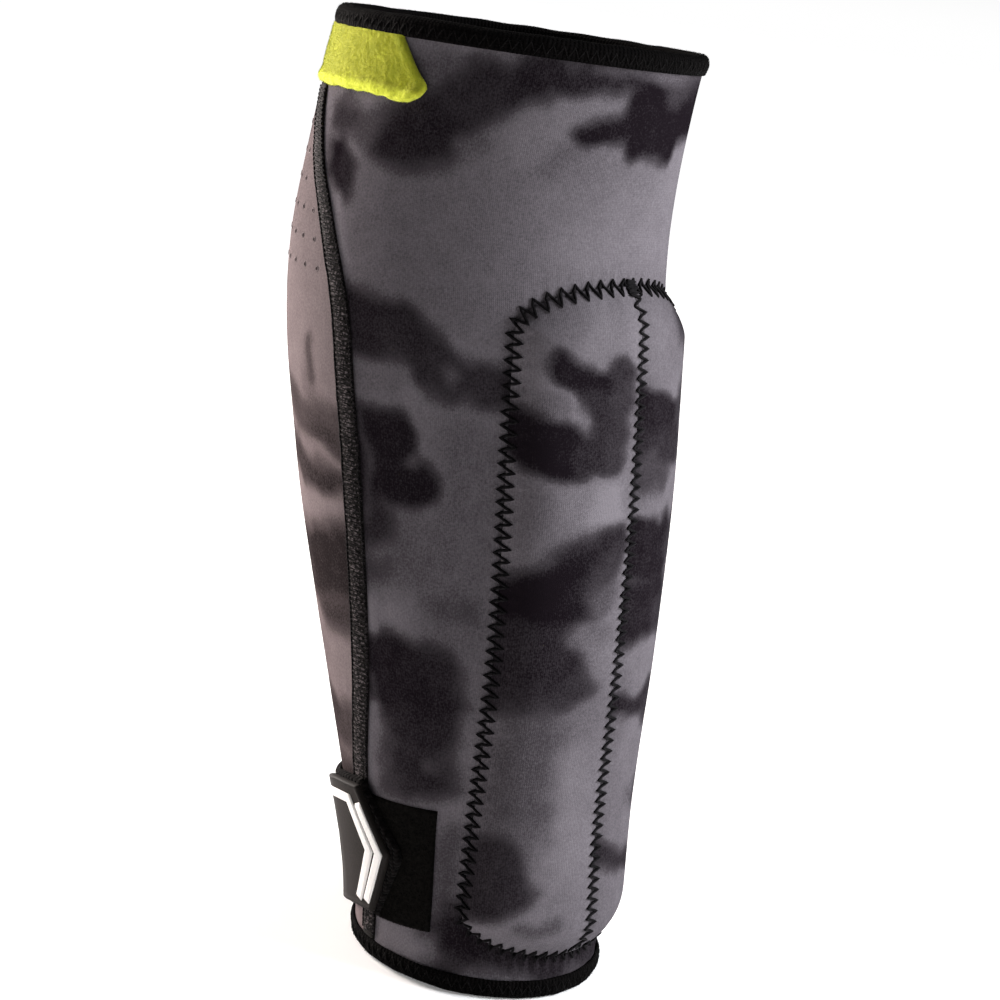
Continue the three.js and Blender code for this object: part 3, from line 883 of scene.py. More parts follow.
FAR_PAD_PRINT = (
    (-30, 90, -6, 40, 20, 0.73, 12),
    (-18, 186, -1, 190, 8.5, 0.05),
    (-22, 180, -1, 179, 6, 0.14, 3),
    (-31, 195, -25, 190, 5, 0.2, 4),
    (-36, 176, -30, 179, 4, 0.36, 5),
    (-14, 171, -1, 171, 4, 0.3, 4),
    (-8, 176, -3, 175, 3, 0.35),
    (-17, 148, -1, 149, 10, 0.04),
    (-17, 130, -1, 128, 11, 0.06, 3.5),
    (-28, 152, -24, 149, 5, 0.18, 4),
    (-26, 122, -21, 125, 5, 0.18, 4),
    (-33, 139, -29, 141, 4, 0.4, 5),
    (-36, 114, -31, 118, 4, 0.34, 5),
    (-18, 97, -2, 98, 3.5, 0.1),
    (-34, 92, -22, 96, 6, 0.16, 4),
    (-36, 104, -30, 100, 4, 0.3, 4),
    (-24, 39, 0, 49, 3, 0.16),
    (-36, 34, -28, 38, 5, 0.2, 4),
    (-34, 212, -26, 218, 6, 0.2, 4),
    (-38, 206, -34, 208, 4, 0.3, 4),
    (-30, 68, -22, 64, 5, 0.35, 5),
)


def pad_thickness(across, height):
    inside, along = inside_pad(across, height)
    slope = 1 - np.clip(inside / PAD_SLOPE, 0, 1)
    rise = (PAD_THICKNESS - PAD_EDGE) * (1 - slope ** 2)
    valley = PAD_VALLEY_DEPTH * (1 - smooth_step(np.abs(across) / PAD_VALLEY_WIDTH))
    sewn_down = 0.4 * bump_at(np.abs(across), 2.2) * smooth_step(inside / 6)
    pucker = 0.12 * ripple(along, ZIGZAG_PITCH) * bump_at(inside - 3.6, 2.0)
    middle_pucker = 0.25 * ripple(height, MIDDLE_ZIGZAG_PITCH) * bump_at(np.abs(across) - 3, 1.6)
    return PAD_EDGE + np.maximum(rise - valley - sewn_down + pucker + middle_pucker, 0)


def cover_out(across, height):
    inside, _ = inside_pad(across, height)
    return np.where(inside > 0, GAP + pad_thickness(across, height), front_relief(across, height))


def vertex_places(mesh):
    places = np.empty(len(mesh.vertices) * 3, dtype=np.float32)
    mesh.vertices.foreach_get("co", places)
    return places.reshape(-1, 3) / MM


def fill_with_foam(skin, sewn):
    # Cloth simulation: the knit is held where it is sewn and the foam presses it out between
    group = skin.vertex_groups.new(name="sewn")
    group.add([int(k) for k in np.flatnonzero(sewn)], 1.0, "REPLACE")
    cloth = skin.modifiers.new("foam", "CLOTH")
    knit = dict(quality=5, mass=0.3, tension_stiffness=25, compression_stiffness=25, shear_stiffness=10,
                bending_stiffness=2, use_pressure=True, uniform_pressure_force=FILL_PRESSURE,
                vertex_group_mass="sewn")
    for name, value in knit.items():
        setattr(cloth.settings, name, value)
    cloth.settings.effector_weights.gravity = 0
    cloth.collision_settings.use_collision = False
    cloth.point_cache.frame_end = FILL_FRAMES
    for frame_number in range(1, FILL_FRAMES + 1):
        scene.frame_set(frame_number)
    graph = bpy.context.evaluated_depsgraph_get()
    places = vertex_places(skin.evaluated_get(graph).data)
    skin.modifiers.remove(cloth)
    scene.frame_set(1)
    return places


def pad_lobe(side, name, blotches):
    share = np.linspace(0, 1, PAD_COLUMNS)[None, ::side]
    even = np.linspace(0, 1, PAD_ROWS)[:, None]
    up = 0.25 * (0.5 - 0.5 * np.cos(math.pi * even)) + 0.75 * even
    low, high = pad_ends(share)
    height = low + (high - low) * up
    across = side * (GAP / 2 + (smooth_through(PAD_HALF_WIDTHS, height) - GAP / 2) * share)
    out = GAP + pad_thickness(across, height)
    tone = print_tone(across, height, blotches, PAD_PRINT_SEED, PAD_PRINT_BLUR)
    lobe = slab(name, angle_over(across, height), height, GAP / 2 + 0 * height, out, (across, height), tone)
    inside, _ = inside_pad(across, height)
    skin = lobe.copy()
    skin.data = lobe.data.copy()
    scene.collection.objects.link(skin)
    near_edge = np.minimum(inside, np.abs(across)) < SEWN_EDGE
    sewn = np.concatenate([near_edge.ravel(), np.ones(across.size, bool)])
    start = vertex_places(skin.data)
    moved = fill_with_foam(skin, sewn) - start
    length = np.linalg.norm(moved, axis=1, keepdims=True)
    moved *= np.minimum(1, FILL_CAP / np.maximum(length, 1e-6))
    lobe.data.vertices.foreach_set("co", ((start + moved) * MM).astype(np.float32).ravel())
    lobe.data.update()
    bpy.data.objects.remove(skin)
    fit(lobe, "pad_cover", front_knit, front_knit, replaces=name.replace("lobe", "pad"))


def pad_outline():
    # The way round the sides and the bottom, and the longer stitches over the top
    share = np.sin(np.linspace(-math.pi / 2, math.pi / 2, 60))
    bottom, top = ([(s * smooth_through(PAD_HALF_WIDTHS, z), z) for s, z in zip(share, end)]
                   for end in pad_ends(share))
    sides = np.linspace(PAD_BOTTOM + PAD_BOTTOM_ROUNDING, PAD_TOP - PAD_TOP_ROUNDING, 90)[1:-1]
    half = smooth_through(PAD_HALF_WIDTHS, sides)
    corner = int(np.searchsorted(share, -TOP_ZIGZAG_SHARE))
    around = top[:corner + 1][::-1] + list(zip(-half, sides))[::-1] + bottom
    around += list(zip(half, sides)) + top[-corner - 1:][::-1]
    return around, top[corner:len(top) - corner]


def stitch_cover():
    # A guide surface over the front panel and both lobes, which carries the zigzag across their edges
    height = np.linspace(GUIDE_FROM, GUIDE_TO, GUIDE_GRID[0])[:, None]
    across = np.linspace(-GUIDE_HALF_WIDTH, GUIDE_HALF_WIDTH, GUIDE_GRID[1])[None, :]
    height, across = np.broadcast_arrays(height, across)
    points = on_leg(angle_over(across, height), height, cover_out(across, height)).reshape(-1, 3)
    faces, _ = grid_faces(*height.shape)
    flat = np.stack([across, height], -1).reshape(-1, 2)[faces].reshape(-1, 2)
    return cloth_object("stitch_guide", points, faces, flat, np.zeros(height.size))


pad_lobe(1, "shin_lobe_right", NEAR_PAD_PRINT)
pad_lobe(-1, "shin_lobe_left", FAR_PAD_PRINT)
zigzag_thread = thread_material("zigzag thread", (0.002, 0.0017, 0.002), (0.008, 0.007, 0.008), 800)
guide = stitch_cover()
around_pad, over_pad = pad_outline()
PAD_STITCHES = (  # name, path, pitch, lift
    ("pad_outline", around_pad, ZIGZAG_PITCH, ZIGZAG_LIFT),
    ("pad_top", over_pad, TOP_ZIGZAG_PITCH, ZIGZAG_LIFT),
    ("pad_middle", [(0, PAD_BOTTOM + 1), (0, PAD_TOP)], MIDDLE_ZIGZAG_PITCH, ZIGZAG_LIFT),
    ("pad_tack", [(0, PAD_TOP - 3), (0, PAD_TOP + 2)], TACK_PITCH, TACK_LIFT),
)
pad_stitches = [sew(name, path, guide, zigzag_thread, pitch, ZIGZAG_WIDTH, ZIGZAG_RADIUS, lift)
                for name, path, pitch, lift in PAD_STITCHES]
fit(join("pad_zigzag", pad_stitches), "seam_thread")
bpy.data.objects.remove(guide)

# Hem bindings
# Black knit tape is folded over the raw edge at the calf and at the ankle, and overlocked on with
# black thread. It is soft, a little lumpy and slightly fuzzy.
BINDING_THICKNESS = 1
BINDING_COLUMNS = 420
BINDING_STITCH_DEPTH = 3.6
FOLD_DEPTH = 2.2
WALL_DEPTH = 1.4
OVERLOCK_PITCH = 3.2
OVERLOCK_WIDTH = 3
OVERLOCK_RADIUS = 0.2
OVERLOCK_DENT = 0.22
TAPE_FUZZ = (2.5, 0.55)  # fibres to a square millimetre, and their length
FUZZ_SEED = 7
FIBRE_RADIUS = 0.045
FIBRE_LEAN = 1.0


def fuzz_tree():
    # Short loose fibres that stand off a face in all directions
    tree, given = start_tree("loose fibres", Density="Float", Length="Float", Fibre_Radius="Float",
                             Lean="Float", Fibre="Material")
    spread = step_in(tree, "GeometryNodeDistributePointsOnFaces", Mesh=given["Geometry"],
                     Density=given["Density"], Seed=FUZZ_SEED)
    fibre = step_in(tree, "GeometryNodeMeshCone", Vertices=3, Side_Segments=1, Fill_Segments=1,
                    Radius_Top=0.0, Radius_Bottom=given["Fibre Radius"], Depth=given["Length"])["Mesh"]
    any_way = step_in(tree, "FunctionNodeRandomValue", {"data_type": "FLOAT_VECTOR"}, _0=(-1, -1, -3),
                      _1=(1, 1, 3), Seed=FUZZ_SEED)[0]
    lean = vector_of(tree, "SCALE", _0=any_way, Scale=given["Lean"])
    tilt = step_in(tree, "FunctionNodeEulerToRotation", Euler=lean)[0]
    turn = step_in(tree, "FunctionNodeRotateRotation", {"rotation_space": "LOCAL"},
                   Rotation=spread["Rotation"], Rotate_By=tilt)[0]
    copies = step_in(tree, "GeometryNodeInstanceOnPoints", Points=spread["Points"], Instance=fibre,
                     Rotation=turn)[0]
    return end_tree(tree, copies, given["Fibre"])


def fuzz(name, points, faces, slot, fibre, density, length, tone=None):
    # points in millimetres, density in fibres to a square millimetre
    face = bpy.data.meshes.new(name + " face")
    face.from_pydata((points * MM).tolist(), [], faces.tolist())
    give_tone(face, np.zeros(len(points)) if tone is None else tone)
    fibres = grow(name, loose_fibres, face, Density=density / MM ** 2, Length=length * MM,
                  Fibre_Radius=FIBRE_RADIUS * MM, Lean=FIBRE_LEAN, Fibre=fibre)
    fit(fibres, slot)


def binding_profile():
    # The tape's section: out, and depth in from the hem's edge
    outside = GAP + BINDING_THICKNESS
    inside = -WALL - GAP - BINDING_THICKNESS
    middle, half = (outside + inside) / 2, (outside - inside) / 2
    outer = [(outside - 0.45, BINDING_HEIGHT), (outside - 0.1, BINDING_HEIGHT - 0.25),
             (outside, BINDING_HEIGHT - 0.9)]
    outer += [(outside + 0.1, depth) for depth in (4.6, 3.8, 3)]
    over = [(middle + half * math.cos(t), FOLD_DEPTH - FOLD_DEPTH * math.sin(t))
            for t in np.linspace(0, math.pi, 13)]
    inner = [(inside, depth) for depth in (3, 4.6, BINDING_HEIGHT)]
    lining = inside + BINDING_THICKNESS
    under = [(lining, BINDING_HEIGHT), (lining, WALL_DEPTH), (GAP, WALL_DEPTH), (GAP, BINDING_HEIGHT)]
    return np.array(outer + over + inner + under)


def binding(at_top, name):
    profile = binding_profile()
    count = len(profile)
    angle = np.linspace(0, 360, BINDING_COLUMNS, endpoint=False)[:, None]
    depth = profile[None, :, 1] + 0 * angle
    hem = float(HEIGHT) if at_top else 0.0
    around = arc_of(angle, hem) + 0 * depth
    outward = smooth_step((profile[None, :, 0] + 2) / 2.5)
    lump = 0.3 * soft_noise(around, depth, 7, 15) + 0.14 * soft_noise(around, depth, 2, 16)
    dent = -OVERLOCK_DENT * ripple(around, OVERLOCK_PITCH) * bump_at(depth - BINDING_STITCH_DEPTH, 1.2)
    fade = smooth_step(np.minimum(angle, 360 - angle) / 4)
    out = profile[None, :, 0] + (lump + dent) * outward * fade
    fold = smooth_step((FOLD_DEPTH - depth) / FOLD_DEPTH)
    edge = np.minimum(0.25 * soft_noise(around, 0 * around, 9, 17) * fade * fold, 0.1)
    height = HEIGHT - depth + edge if at_top else depth - edge
    points = on_leg(angle, height, out).reshape(-1, 3)
    index = np.arange(BINDING_COLUMNS * count).reshape(BINDING_COLUMNS, count)
    right, below = np.roll(index, -1, axis=0), np.roll(index, -1, axis=1)
    faces = np.stack([index, below, np.roll(right, -1, axis=1), right], -1).reshape(-1, 4)
    length = np.concatenate([[0], np.cumsum(np.hypot(*np.diff(profile, axis=0).T))])
    last_length = length[-1] + np.hypot(*(profile[0] - profile[-1]))
    step = arc_of(360.0 / BINDING_COLUMNS, hem)
    i, k = np.indices(index.shape)
    after = np.where(k + 1 < count, np.append(length[1:], 0)[k], last_length)
    corners = ((i, length[k]), (i, after), (i + 1, after), (i + 1, length[k]))
    flat = np.stack([np.stack([column * step, down], -1) for column, down in corners], 2)
    if not at_top:
        faces = faces[:, ::-1]
        flat = flat[:, :, ::-1]
    tape = cloth_object(name, points, faces, flat.reshape(-1, 2), np.zeros(len(points)))
    fit(tape, "binding_tape", knit_tape, replaces=name.replace("tape", "binding"))
    row = length[np.argmin(np.abs(profile[:8, 1] - BINDING_STITCH_DEPTH))]
    round_length = BINDING_COLUMNS * step
    path = [(x, row) for x in np.linspace(0.5, round_length - 0.5, 200)]
    stitches = sew(name + "_overlock", path, tape, overlock_thread, OVERLOCK_PITCH, OVERLOCK_WIDTH,
                   OVERLOCK_RADIUS, 0.0)
    fit(stitches, "binding_tape")
    strip = index[:, 3:13]
    after = np.roll(strip, -1, axis=0)
    shown = np.stack([strip[:, :-1], strip[:, 1:], after[:, 1:], after[:, :-1]], -1).reshape(-1, 4)
    fuzz(name + "_fuzz", points, shown if at_top else shown[:, ::-1], "binding_tape", knit_tape, *TAPE_FUZZ)


def tape_material():
    material, shader = new_material("knit tape", 0.95)
    fibre = mottle(material, 900, 3)
    loops, ribs = knit_height(material, 1.3, 1.0)
    tone = sum_of(material, "MULTIPLY", sum_of(material, "MULTIPLY_ADD", ribs, 0.5, fibre), 0.6)
    give_colour(material, shader, tone, (0.3, (0.0005, 0.0004, 0.0004)), (0.85, (0.004, 0.0033, 0.0033)))
    give_bump(material, shader, sum_of(material, "ADD", loops, fibre), 0.3, 0.8)
    return material


knit_tape = tape_material()
loose_fibres = fuzz_tree()
overlock_thread = thread_material("overlock thread", (0.001, 0.0008, 0.0008), (0.006, 0.005, 0.005), 900)
binding(True, "top_tape")
binding(False, "bottom_tape")

# Pull tab
# A tab of thick lime felt, sewn in under the calf binding to pull the sleeve on by. Its lower edge is
# turned up into a soft roll, its sides are bevelled, and its lower corners stand off the leg.
TAB_MIDDLE = 118
TAB_BOTTOM = UNDER_BINDING - TAB_HEIGHT
TAB_SIDES = (  # height, half angle
    (275.4, 39),
    (277.1, 41.7),
    (280.4, 43),
    (284.4, 39),
    (293.4, 31),
)
TAB_THICKNESS = 0.8
TAB_FLARE = 1.2
TAB_FLAT_ANGLE = 15
TAB_FLARE_ANGLE = 25
TAB_CORNER_SAG = 0.7
TAB_FUZZ = (3.5, 0.6)
TAB_GRID = (50, 170)
TAB_TUCK = 0.6


def dense_ends(count):
    even = np.linspace(0, 1, count)
    return 0.5 * even + 0.5 * (0.5 - 0.5 * np.cos(math.pi * even))


def both_ways(count):
    # From -1 to 1, closer together towards both ends
    return 2 * dense_ends(count) - 1


def fuzz_over(name, angle, height, out, *rest):
    faces, _ = grid_faces(*angle.shape)
    fuzz(name, on_leg(angle, height, out).reshape(-1, 3), faces, *rest)


def pull_tab():
    share = dense_ends(TAB_GRID[0])[:, None]
    height = TAB_BOTTOM + (TAB_HEIGHT + TAB_TUCK) * share
    side = both_ways(TAB_GRID[1])[None, :]
    half = smooth_through(TAB_SIDES, np.minimum(height, UNDER_BINDING))
    angle = TAB_MIDDLE + half * side
    height = np.broadcast_to(height, angle.shape)
    from_bottom = height - TAB_BOTTOM
    from_side = arc_of(half * (1 - np.abs(side)), height)
    across = arc_of(angle - TAB_MIDDLE, height)
    wander = 0.6 * soft_noise(across, height, 5, 31)
    flare = TAB_FLARE * smooth_step((np.abs(angle - TAB_MIDDLE) - TAB_FLAT_ANGLE) / TAB_FLARE_ANGLE)
    low = GAP + flare * np.clip(1 - from_bottom / TAB_HEIGHT, 0, 1)
    corner = np.hypot(from_side - 3, from_bottom - 2.5)
    roll = 0.45 * bump_at(from_bottom - 1.9 + wander, 1.7) + 0.35 * bump_at(from_side - 2 + wander, 1.8)
    knob = 0.8 * bump_at(corner, 3.4)
    crease = -0.2 * bump_at(from_bottom - 4.6 + wander, 1.1) - 0.2 * bump_at(corner - 4.2, 0.9)
    fluff = 0.14 * soft_noise(across, height, 1.1, 32) + 0.08 * soft_noise(across, height, 4, 33)
    rim = rounded_rim(np.minimum(from_bottom, from_side), 1.2)
    body = TAB_THICKNESS + np.minimum(roll + knob, 1.3) + crease + fluff
    high = low + 0.15 + body * rim
    # Painted light on the felt and its fibres: a painted highlight along the lower roll and painted shade on
    # the side bevels.
    tone = bump_at(np.maximum(from_bottom - 1.7, 0), 1.9) - 0.3 * bump_at(np.maximum(from_side - 2, 0), 1.5)
    sag = TAB_CORNER_SAG * bump_at(from_side - 4, 4) + 0.3 * soft_noise(across, 0 * height, 3, 34)
    height = height - sag * np.clip(1 - 2 * share, 0, 1)
    tab = slab("pull_tab_felt", angle, height, low, high, (across, height), tone)
    fit(tab, "tab_felt", lime_felt, lime_felt, replaces="pull_tab")
    fuzz_over("pull_tab_fuzz", angle, height, high, "tab_felt", lime_felt, *TAB_FUZZ, tone)


def felt_material():
    material, shader = new_material("lime felt", 0.95, sheen=0.1)
    fibre = mottle(material, 1100, 4)
    patch = mottle(material, 170)
    mix = sum_of(material, "MULTIPLY_ADD", fibre, 0.35, sum_of(material, "MULTIPLY_ADD", patch, 0.3, 0.05))
    # The stored tone is painted light: it lifts the felt on the roll as a painted highlight and darkens it
    # on the bevels as painted shade.
    tone = sum_of(material, "MULTIPLY_ADD", print_and_painted_light(material), 0.28, mix)
    give_colour(material, shader, tone, (0.1, (0.2, 0.235, 0.014)), (0.42, (0.32, 0.33, 0.023)),
                (0.8, (0.78, 0.84, 0.08)))
    give_bump(material, shader, fibre, 0.35, 0.8)
    return material


lime_felt = felt_material()
pull_tab()

# Loop patch
# A rectangle of black brushed loop pile, sewn flat on the front panel beside the seam. The strap's
# hooks close on it.
PATCH_FROM_SHIN = 51.3
PATCH_MIDDLE = 38.5
PATCH_HEIGHT = 41
PATCH_THICKNESS = 1.2
PATCH_DROP = 2.5
PATCH_FUZZ = (5, 0.5)
PATCH_GRID = (60, 60)


def loop_patch():
    up = dense_ends(PATCH_GRID[0])[:, None]
    along = dense_ends(PATCH_GRID[1])[None, :]
    height = PATCH_MIDDLE - PATCH_DROP * along + PATCH_HEIGHT * (up - 0.5)
    start = angle_over(PATCH_FROM_SHIN, height)
    end = seam_angle(height) - angle_over(SEAM_WIDTH / 2 + 2 * GAP, height)
    angle = start + (end - start) * along
    across = arc_of(angle, height)
    length = arc_of(end - start, height)
    edge = np.minimum(PATCH_HEIGHT * (0.5 - np.abs(up - 0.5)), length * (0.5 - np.abs(along - 0.5)))
    pile = 0.16 * soft_noise(across, height, 1.3, 36) + 0.12 * soft_noise(across, height, 4, 37)
    high = GAP + 0.1 + (PATCH_THICKNESS + pile) * rounded_rim(edge, 1.1)
    patch = slab("loop_patch_pile", angle, height, -0.4 + 0 * angle, high, (across, height))
    fit(patch, "loop_pile", loop_pile, loop_pile, replaces="loop_patch")
    fuzz_over("loop_patch_fuzz", angle, height, high, "loop_pile", loop_pile, *PATCH_FUZZ)


def pile_material(name, dark, light, scale, depth):
    material, shader = new_material(name, 1.0)
    place = add_node(material, "ShaderNodeTexCoord").outputs["Object"]
    curls = add_node(material, "ShaderNodeTexVoronoi", Vector=place, Scale=scale).outputs["Distance"]
    fibre = sum_of(material, "MULTIPLY", sum_of(material, "ADD", curls, mottle(material, 1300, 3)), 0.6)
    give_colour(material, shader, fibre, (0.3, dark), (0.8, light))
    give_bump(material, shader, fibre, depth, 0.9)
    return material


loop_pile = pile_material("loop pile", (0.0015, 0.0014, 0.0013), (0.005, 0.0045, 0.004), 900, 0.4)
loop_patch()

# Ankle strap
# A black elastic strap, sewn in at the far seam, goes round the back of the ankle and over the near
# seam, and closes with its soft pointed end on the loop patch.
STRAP_TIP_ANGLE = 82.5
STRAP_WIDTH = 44
STRAP_THICKNESS = 2
STRAP_REST = 0.4
STRAP_STEP = (116, 16)
STRAP_TIP_SLOPE = math.sqrt(3)
STRAP_TIP_BLUNT = 1.5
STRAP_ROWS = 48
STRAP_COLUMNS = 170
STRAP_TIP_COLUMNS = 15
STRAP_PATH = (  # angle, height of the strap's middle
    (82, 41),
    (112, 37.7),
    (140, 31.5),
    (180, 29.5),
    (255, 32),
)


def strap_middle(angle):
    return smooth_through(STRAP_PATH, angle)


def strap_lift(angle):
    over_patch = 2 * GAP + PATCH_THICKNESS
    return over_patch + (STRAP_REST - over_patch) * smooth_step((angle - STRAP_STEP[0]) / STRAP_STEP[1])


def strap_end(height):
    return 360 - seam_angle(height) - angle_over(SEAM_WIDTH / 2 + 2 * GAP, height)


def ankle_strap():
    tip_length = (STRAP_WIDTH / 2 - STRAP_TIP_BLUNT) / STRAP_TIP_SLOPE
    band_start = STRAP_TIP_ANGLE + angle_over(tip_length, PATCH_MIDDLE)
    tip = np.linspace(0, 1, STRAP_TIP_COLUMNS + 1)[:-1]
    band = np.linspace(0, 1, STRAP_COLUMNS)
    tip_share = np.concatenate([tip, np.ones(len(band))])[None, :]
    band_share = np.concatenate([np.zeros(len(tip)), band])[None, :]
    half = STRAP_TIP_BLUNT + (STRAP_WIDTH / 2 - STRAP_TIP_BLUNT) * tip_share
    start = STRAP_TIP_ANGLE + (band_start - STRAP_TIP_ANGLE) * tip_share
    middle_angle = start + (strap_end(STRAP_PATH[-1][1]) - start) * band_share
    up = both_ways(STRAP_ROWS)[:, None]
    height = strap_middle(middle_angle) + half * up
    angle = start + (strap_end(height) - start) * band_share
    along = arc_of(angle - STRAP_TIP_ANGLE, height)
    scallop = 0.35 * soft_noise(along + 3 * up, height, 3, 41) * (1 - smooth_step((along - 14) / 6))
    edge = np.minimum(half * (1 - np.abs(up)), np.maximum(along, 0) + 0.2)
    low = strap_lift(angle)
    swell = 0.12 * soft_noise(along, height, 9, 42)
    high = low + 0.2 + (STRAP_THICKNESS - 0.2 + swell + scallop) * rounded_rim(edge, 1.2)
    strap = slab("ankle_strap_webbing", angle, height, low, high, (along, height))
    fit(strap, "strap_webbing", strap_webbing, strap_webbing, replaces="ankle_strap")


def webbing_material():
    material, shader = new_material("strap webbing", 0.9, sheen=0.02)
    loops, ribs = knit_height(material, 1.8, 1.4)
    tone = sum_of(material, "MULTIPLY", sum_of(material, "ADD", mottle(material, 900, 3), ribs), 0.5)
    give_colour(material, shader, tone, (0.25, (0.001, 0.0009, 0.0009)), (0.8, (0.006, 0.005, 0.005)))
    give_bump(material, shader, loops, 0.35, 0.8)
    return material


strap_webbing = webbing_material()
ankle_strap()

# Strap badge
# A hexagonal plate of dark grey moulded rubber is welded on the strap's end. Two raised white stripes
# follow its front edges, and the inner one runs on along its top. The face between is bare.
BADGE_MIDDLE_ANGLE = 112
BADGE_HEIGHT = 41
BADGE_FLAT_LENGTH = 22.5
BADGE_POINT_LENGTH = 9
BADGE_THICKNESS = 2
BADGE_TIP_HEIGHT = 1.2
BADGE_HALF_LENGTH = BADGE_FLAT_LENGTH / 2 + BADGE_POINT_LENGTH
BADGE_LEAN = math.atan2(BADGE_HEIGHT - BADGE_TIP_HEIGHT, 2 * BADGE_POINT_LENGTH)
BADGE_GRID = (70, 110)
BADGE_EDGE = 0.35
STRIPE_WIDTH = 3.1
STRIPE_SUNK = 0.3
STRIPE_STEPS = 16
STRIPE_RISE = 0.45
STRIPE_TOP = 15
STRIPE_BOTTOM = 18
OUTER_STRIPE_INSET = 2.6
INNER_STRIPE_INSET = 6.4


def on_badge(across, up, out):
    angle = BADGE_MIDDLE_ANGLE + angle_over(across, PATCH_MIDDLE + STRAP_WIDTH / 2)
    low = strap_lift(angle) + STRAP_THICKNESS + GAP / 2
    return angle, strap_middle(angle) + up, low, low + out


def badge_half(across):
    from_end = BADGE_HALF_LENGTH - np.abs(across)
    share = np.clip(from_end / BADGE_POINT_LENGTH, 0, 1)
    return (BADGE_TIP_HEIGHT + (BADGE_HEIGHT - BADGE_TIP_HEIGHT) * share) / 2


def strap_badge():
    across = (BADGE_HALF_LENGTH * both_ways(BADGE_GRID[1]))[None, :]
    share = both_ways(BADGE_GRID[0])[:, None]
    half = badge_half(across)
    up = half * share
    across = np.broadcast_to(across, up.shape)
    from_slant = (BADGE_HALF_LENGTH + BADGE_TIP_HEIGHT / 2 / math.tan(BADGE_LEAN) - np.abs(across)
                  - np.abs(up) / math.tan(BADGE_LEAN)) * math.sin(BADGE_LEAN)
    edge = np.minimum(BADGE_HEIGHT / 2 - np.abs(up), np.maximum(from_slant, 0))
    edge = np.minimum(edge, BADGE_HALF_LENGTH - np.abs(across))
    line = 0.16 * bump_at(edge - 1.0, 0.35)
    sunk = -0.12 * smooth_step((edge - 1.5) / 0.5)
    out = BADGE_EDGE + (BADGE_THICKNESS - BADGE_EDGE) * rounded_rim(edge, 0.7) + line + sunk
    angle, height, low, high = on_badge(across, up, out)
    # Painted shade: the rubber is darker along its rounded rim.
    tone = -0.5 * bump_at(edge - 0.4, 0.9)
    badge = slab("strap_badge_plate", angle, height, low, high, (across, up), tone)
    fit(badge, "badge_rubber", badge_rubber, badge_rubber, replaces="strap_badge")


def stripe_line(inset, with_top):
    tip = -BADGE_HALF_LENGTH + inset / math.sin(BADGE_LEAN)
    top, bottom = (tip + reach / math.tan(BADGE_LEAN) for reach in (STRIPE_TOP, STRIPE_BOTTOM))
    line = [(top, STRIPE_TOP), (tip, 0), (bottom, -STRIPE_BOTTOM)]
    return [(BADGE_FLAT_LENGTH / 2, STRIPE_TOP)] + line if with_top else line


def stripe(name, line):
    # A raised bar with mitred corners, drawn flat on the badge and bent round the leg with it
    line = np.array(line, dtype=float)
    way = np.diff(line, axis=0)
    way /= np.linalg.norm(way, axis=1, keepdims=True)
    normal = np.stack([-way[:, 1], way[:, 0]], -1)
    at_point = np.concatenate([normal[:1], normal[:-1] + normal[1:], normal[-1:]])
    beside = np.concatenate([normal[:1], normal[:-1], normal[-1:]])
    mitre = at_point / np.sum(at_point * beside, axis=1, keepdims=True)
    share = both_ways(9) * STRIPE_WIDTH / 2
    places, edges = [], []
    for k in range(len(line) - 1):
        steps = np.linspace(0, 1, STRIPE_STEPS)[:, None]
        steps = steps if k == len(line) - 2 else steps[:-1]
        places.append(line[k] + (line[k + 1] - line[k]) * steps)
        edges.append(mitre[k] + (mitre[k + 1] - mitre[k]) * steps)
    places, edges = np.concatenate(places), np.concatenate(edges)
    spread = places[None] + edges[None] * share[:, None, None]
    across, up = spread[..., 0], spread[..., 1]
    to_end = np.minimum(np.arange(len(places)), np.arange(len(places))[::-1])[None, :] * 1.0
    rim = rounded_rim(np.minimum(STRIPE_WIDTH / 2 - np.abs(share)[:, None], to_end), 0.35)
    out = BADGE_THICKNESS - STRIPE_SUNK + (STRIPE_RISE + STRIPE_SUNK) * rim
    angle, height, low, high = on_badge(across, up, out)
    bar = slab(name, angle, height, low + BADGE_THICKNESS - 2 * STRIPE_SUNK, high, (across, up))
    fit(bar, "badge_rubber", white_rubber, white_rubber)


def rubber_material(name, dark, light, roughness):
    material, shader = new_material(name, roughness, gloss=0.12)
    speck = mottle(material, 1400, 3)
    mix = sum_of(material, "MULTIPLY_ADD", speck, 0.6, sum_of(material, "MULTIPLY", print_and_painted_light(material), 0.5))
    give_colour(material, shader, mix, (0.15, dark), (0.8, light))
    give_bump(material, shader, speck, 0.06, 0.5)
    return material


badge_rubber = rubber_material("badge rubber", (0.008, 0.0062, 0.0055), (0.026, 0.02, 0.0175), 0.65)
white_rubber = rubber_material("white rubber", (0.68, 0.66, 0.64), (0.84, 0.83, 0.81), 0.5)
strap_badge()
stripe("badge_outer_stripe", stripe_line(OUTER_STRIPE_INSET, False))
stripe("badge_inner_stripe", stripe_line(INNER_STRIPE_INSET, True))

# Floor, lights and camera
# A pale studio floor and soft boxes: a cool one in front to the right, a warm one behind to the left.
# The camera stands where the photograph was taken from, a little above the calf and slightly turned.
CAMERA_SIDE = -52
CAMERA_DISTANCE = 697
CAMERA_HEIGHT = 314
CAMERA_PITCH = 13.03
CAMERA_YAW = 1.04
CAMERA_ROLL = 8.24
FOCAL_PIXELS = 2228
PHOTO_SIDE = 1000
SENSOR_WIDTH = 36
FLOOR_REACH = 30
FLOOR_NEAR = 0.5
FLOOR_FAR = 1.6
FLOOR_GLOW = 0.2
HORIZON_GLOW = 10
DIM_OVERHEAD = 0.06
LIGHT_TARGET = Vector((0, 0.03, 0.15))
LIGHT_DISTANCE = 1.3
LIGHT_SIZE = (0.6, 1.0)
SOFT_BOXES = (  # name, angle, rise, power, colour
    ("cool side light", -32, 28, 35, (0.95, 0.97, 1.0)),
    ("warm side light", 172, 14, 54, (1.0, 0.92, 0.87)),
)


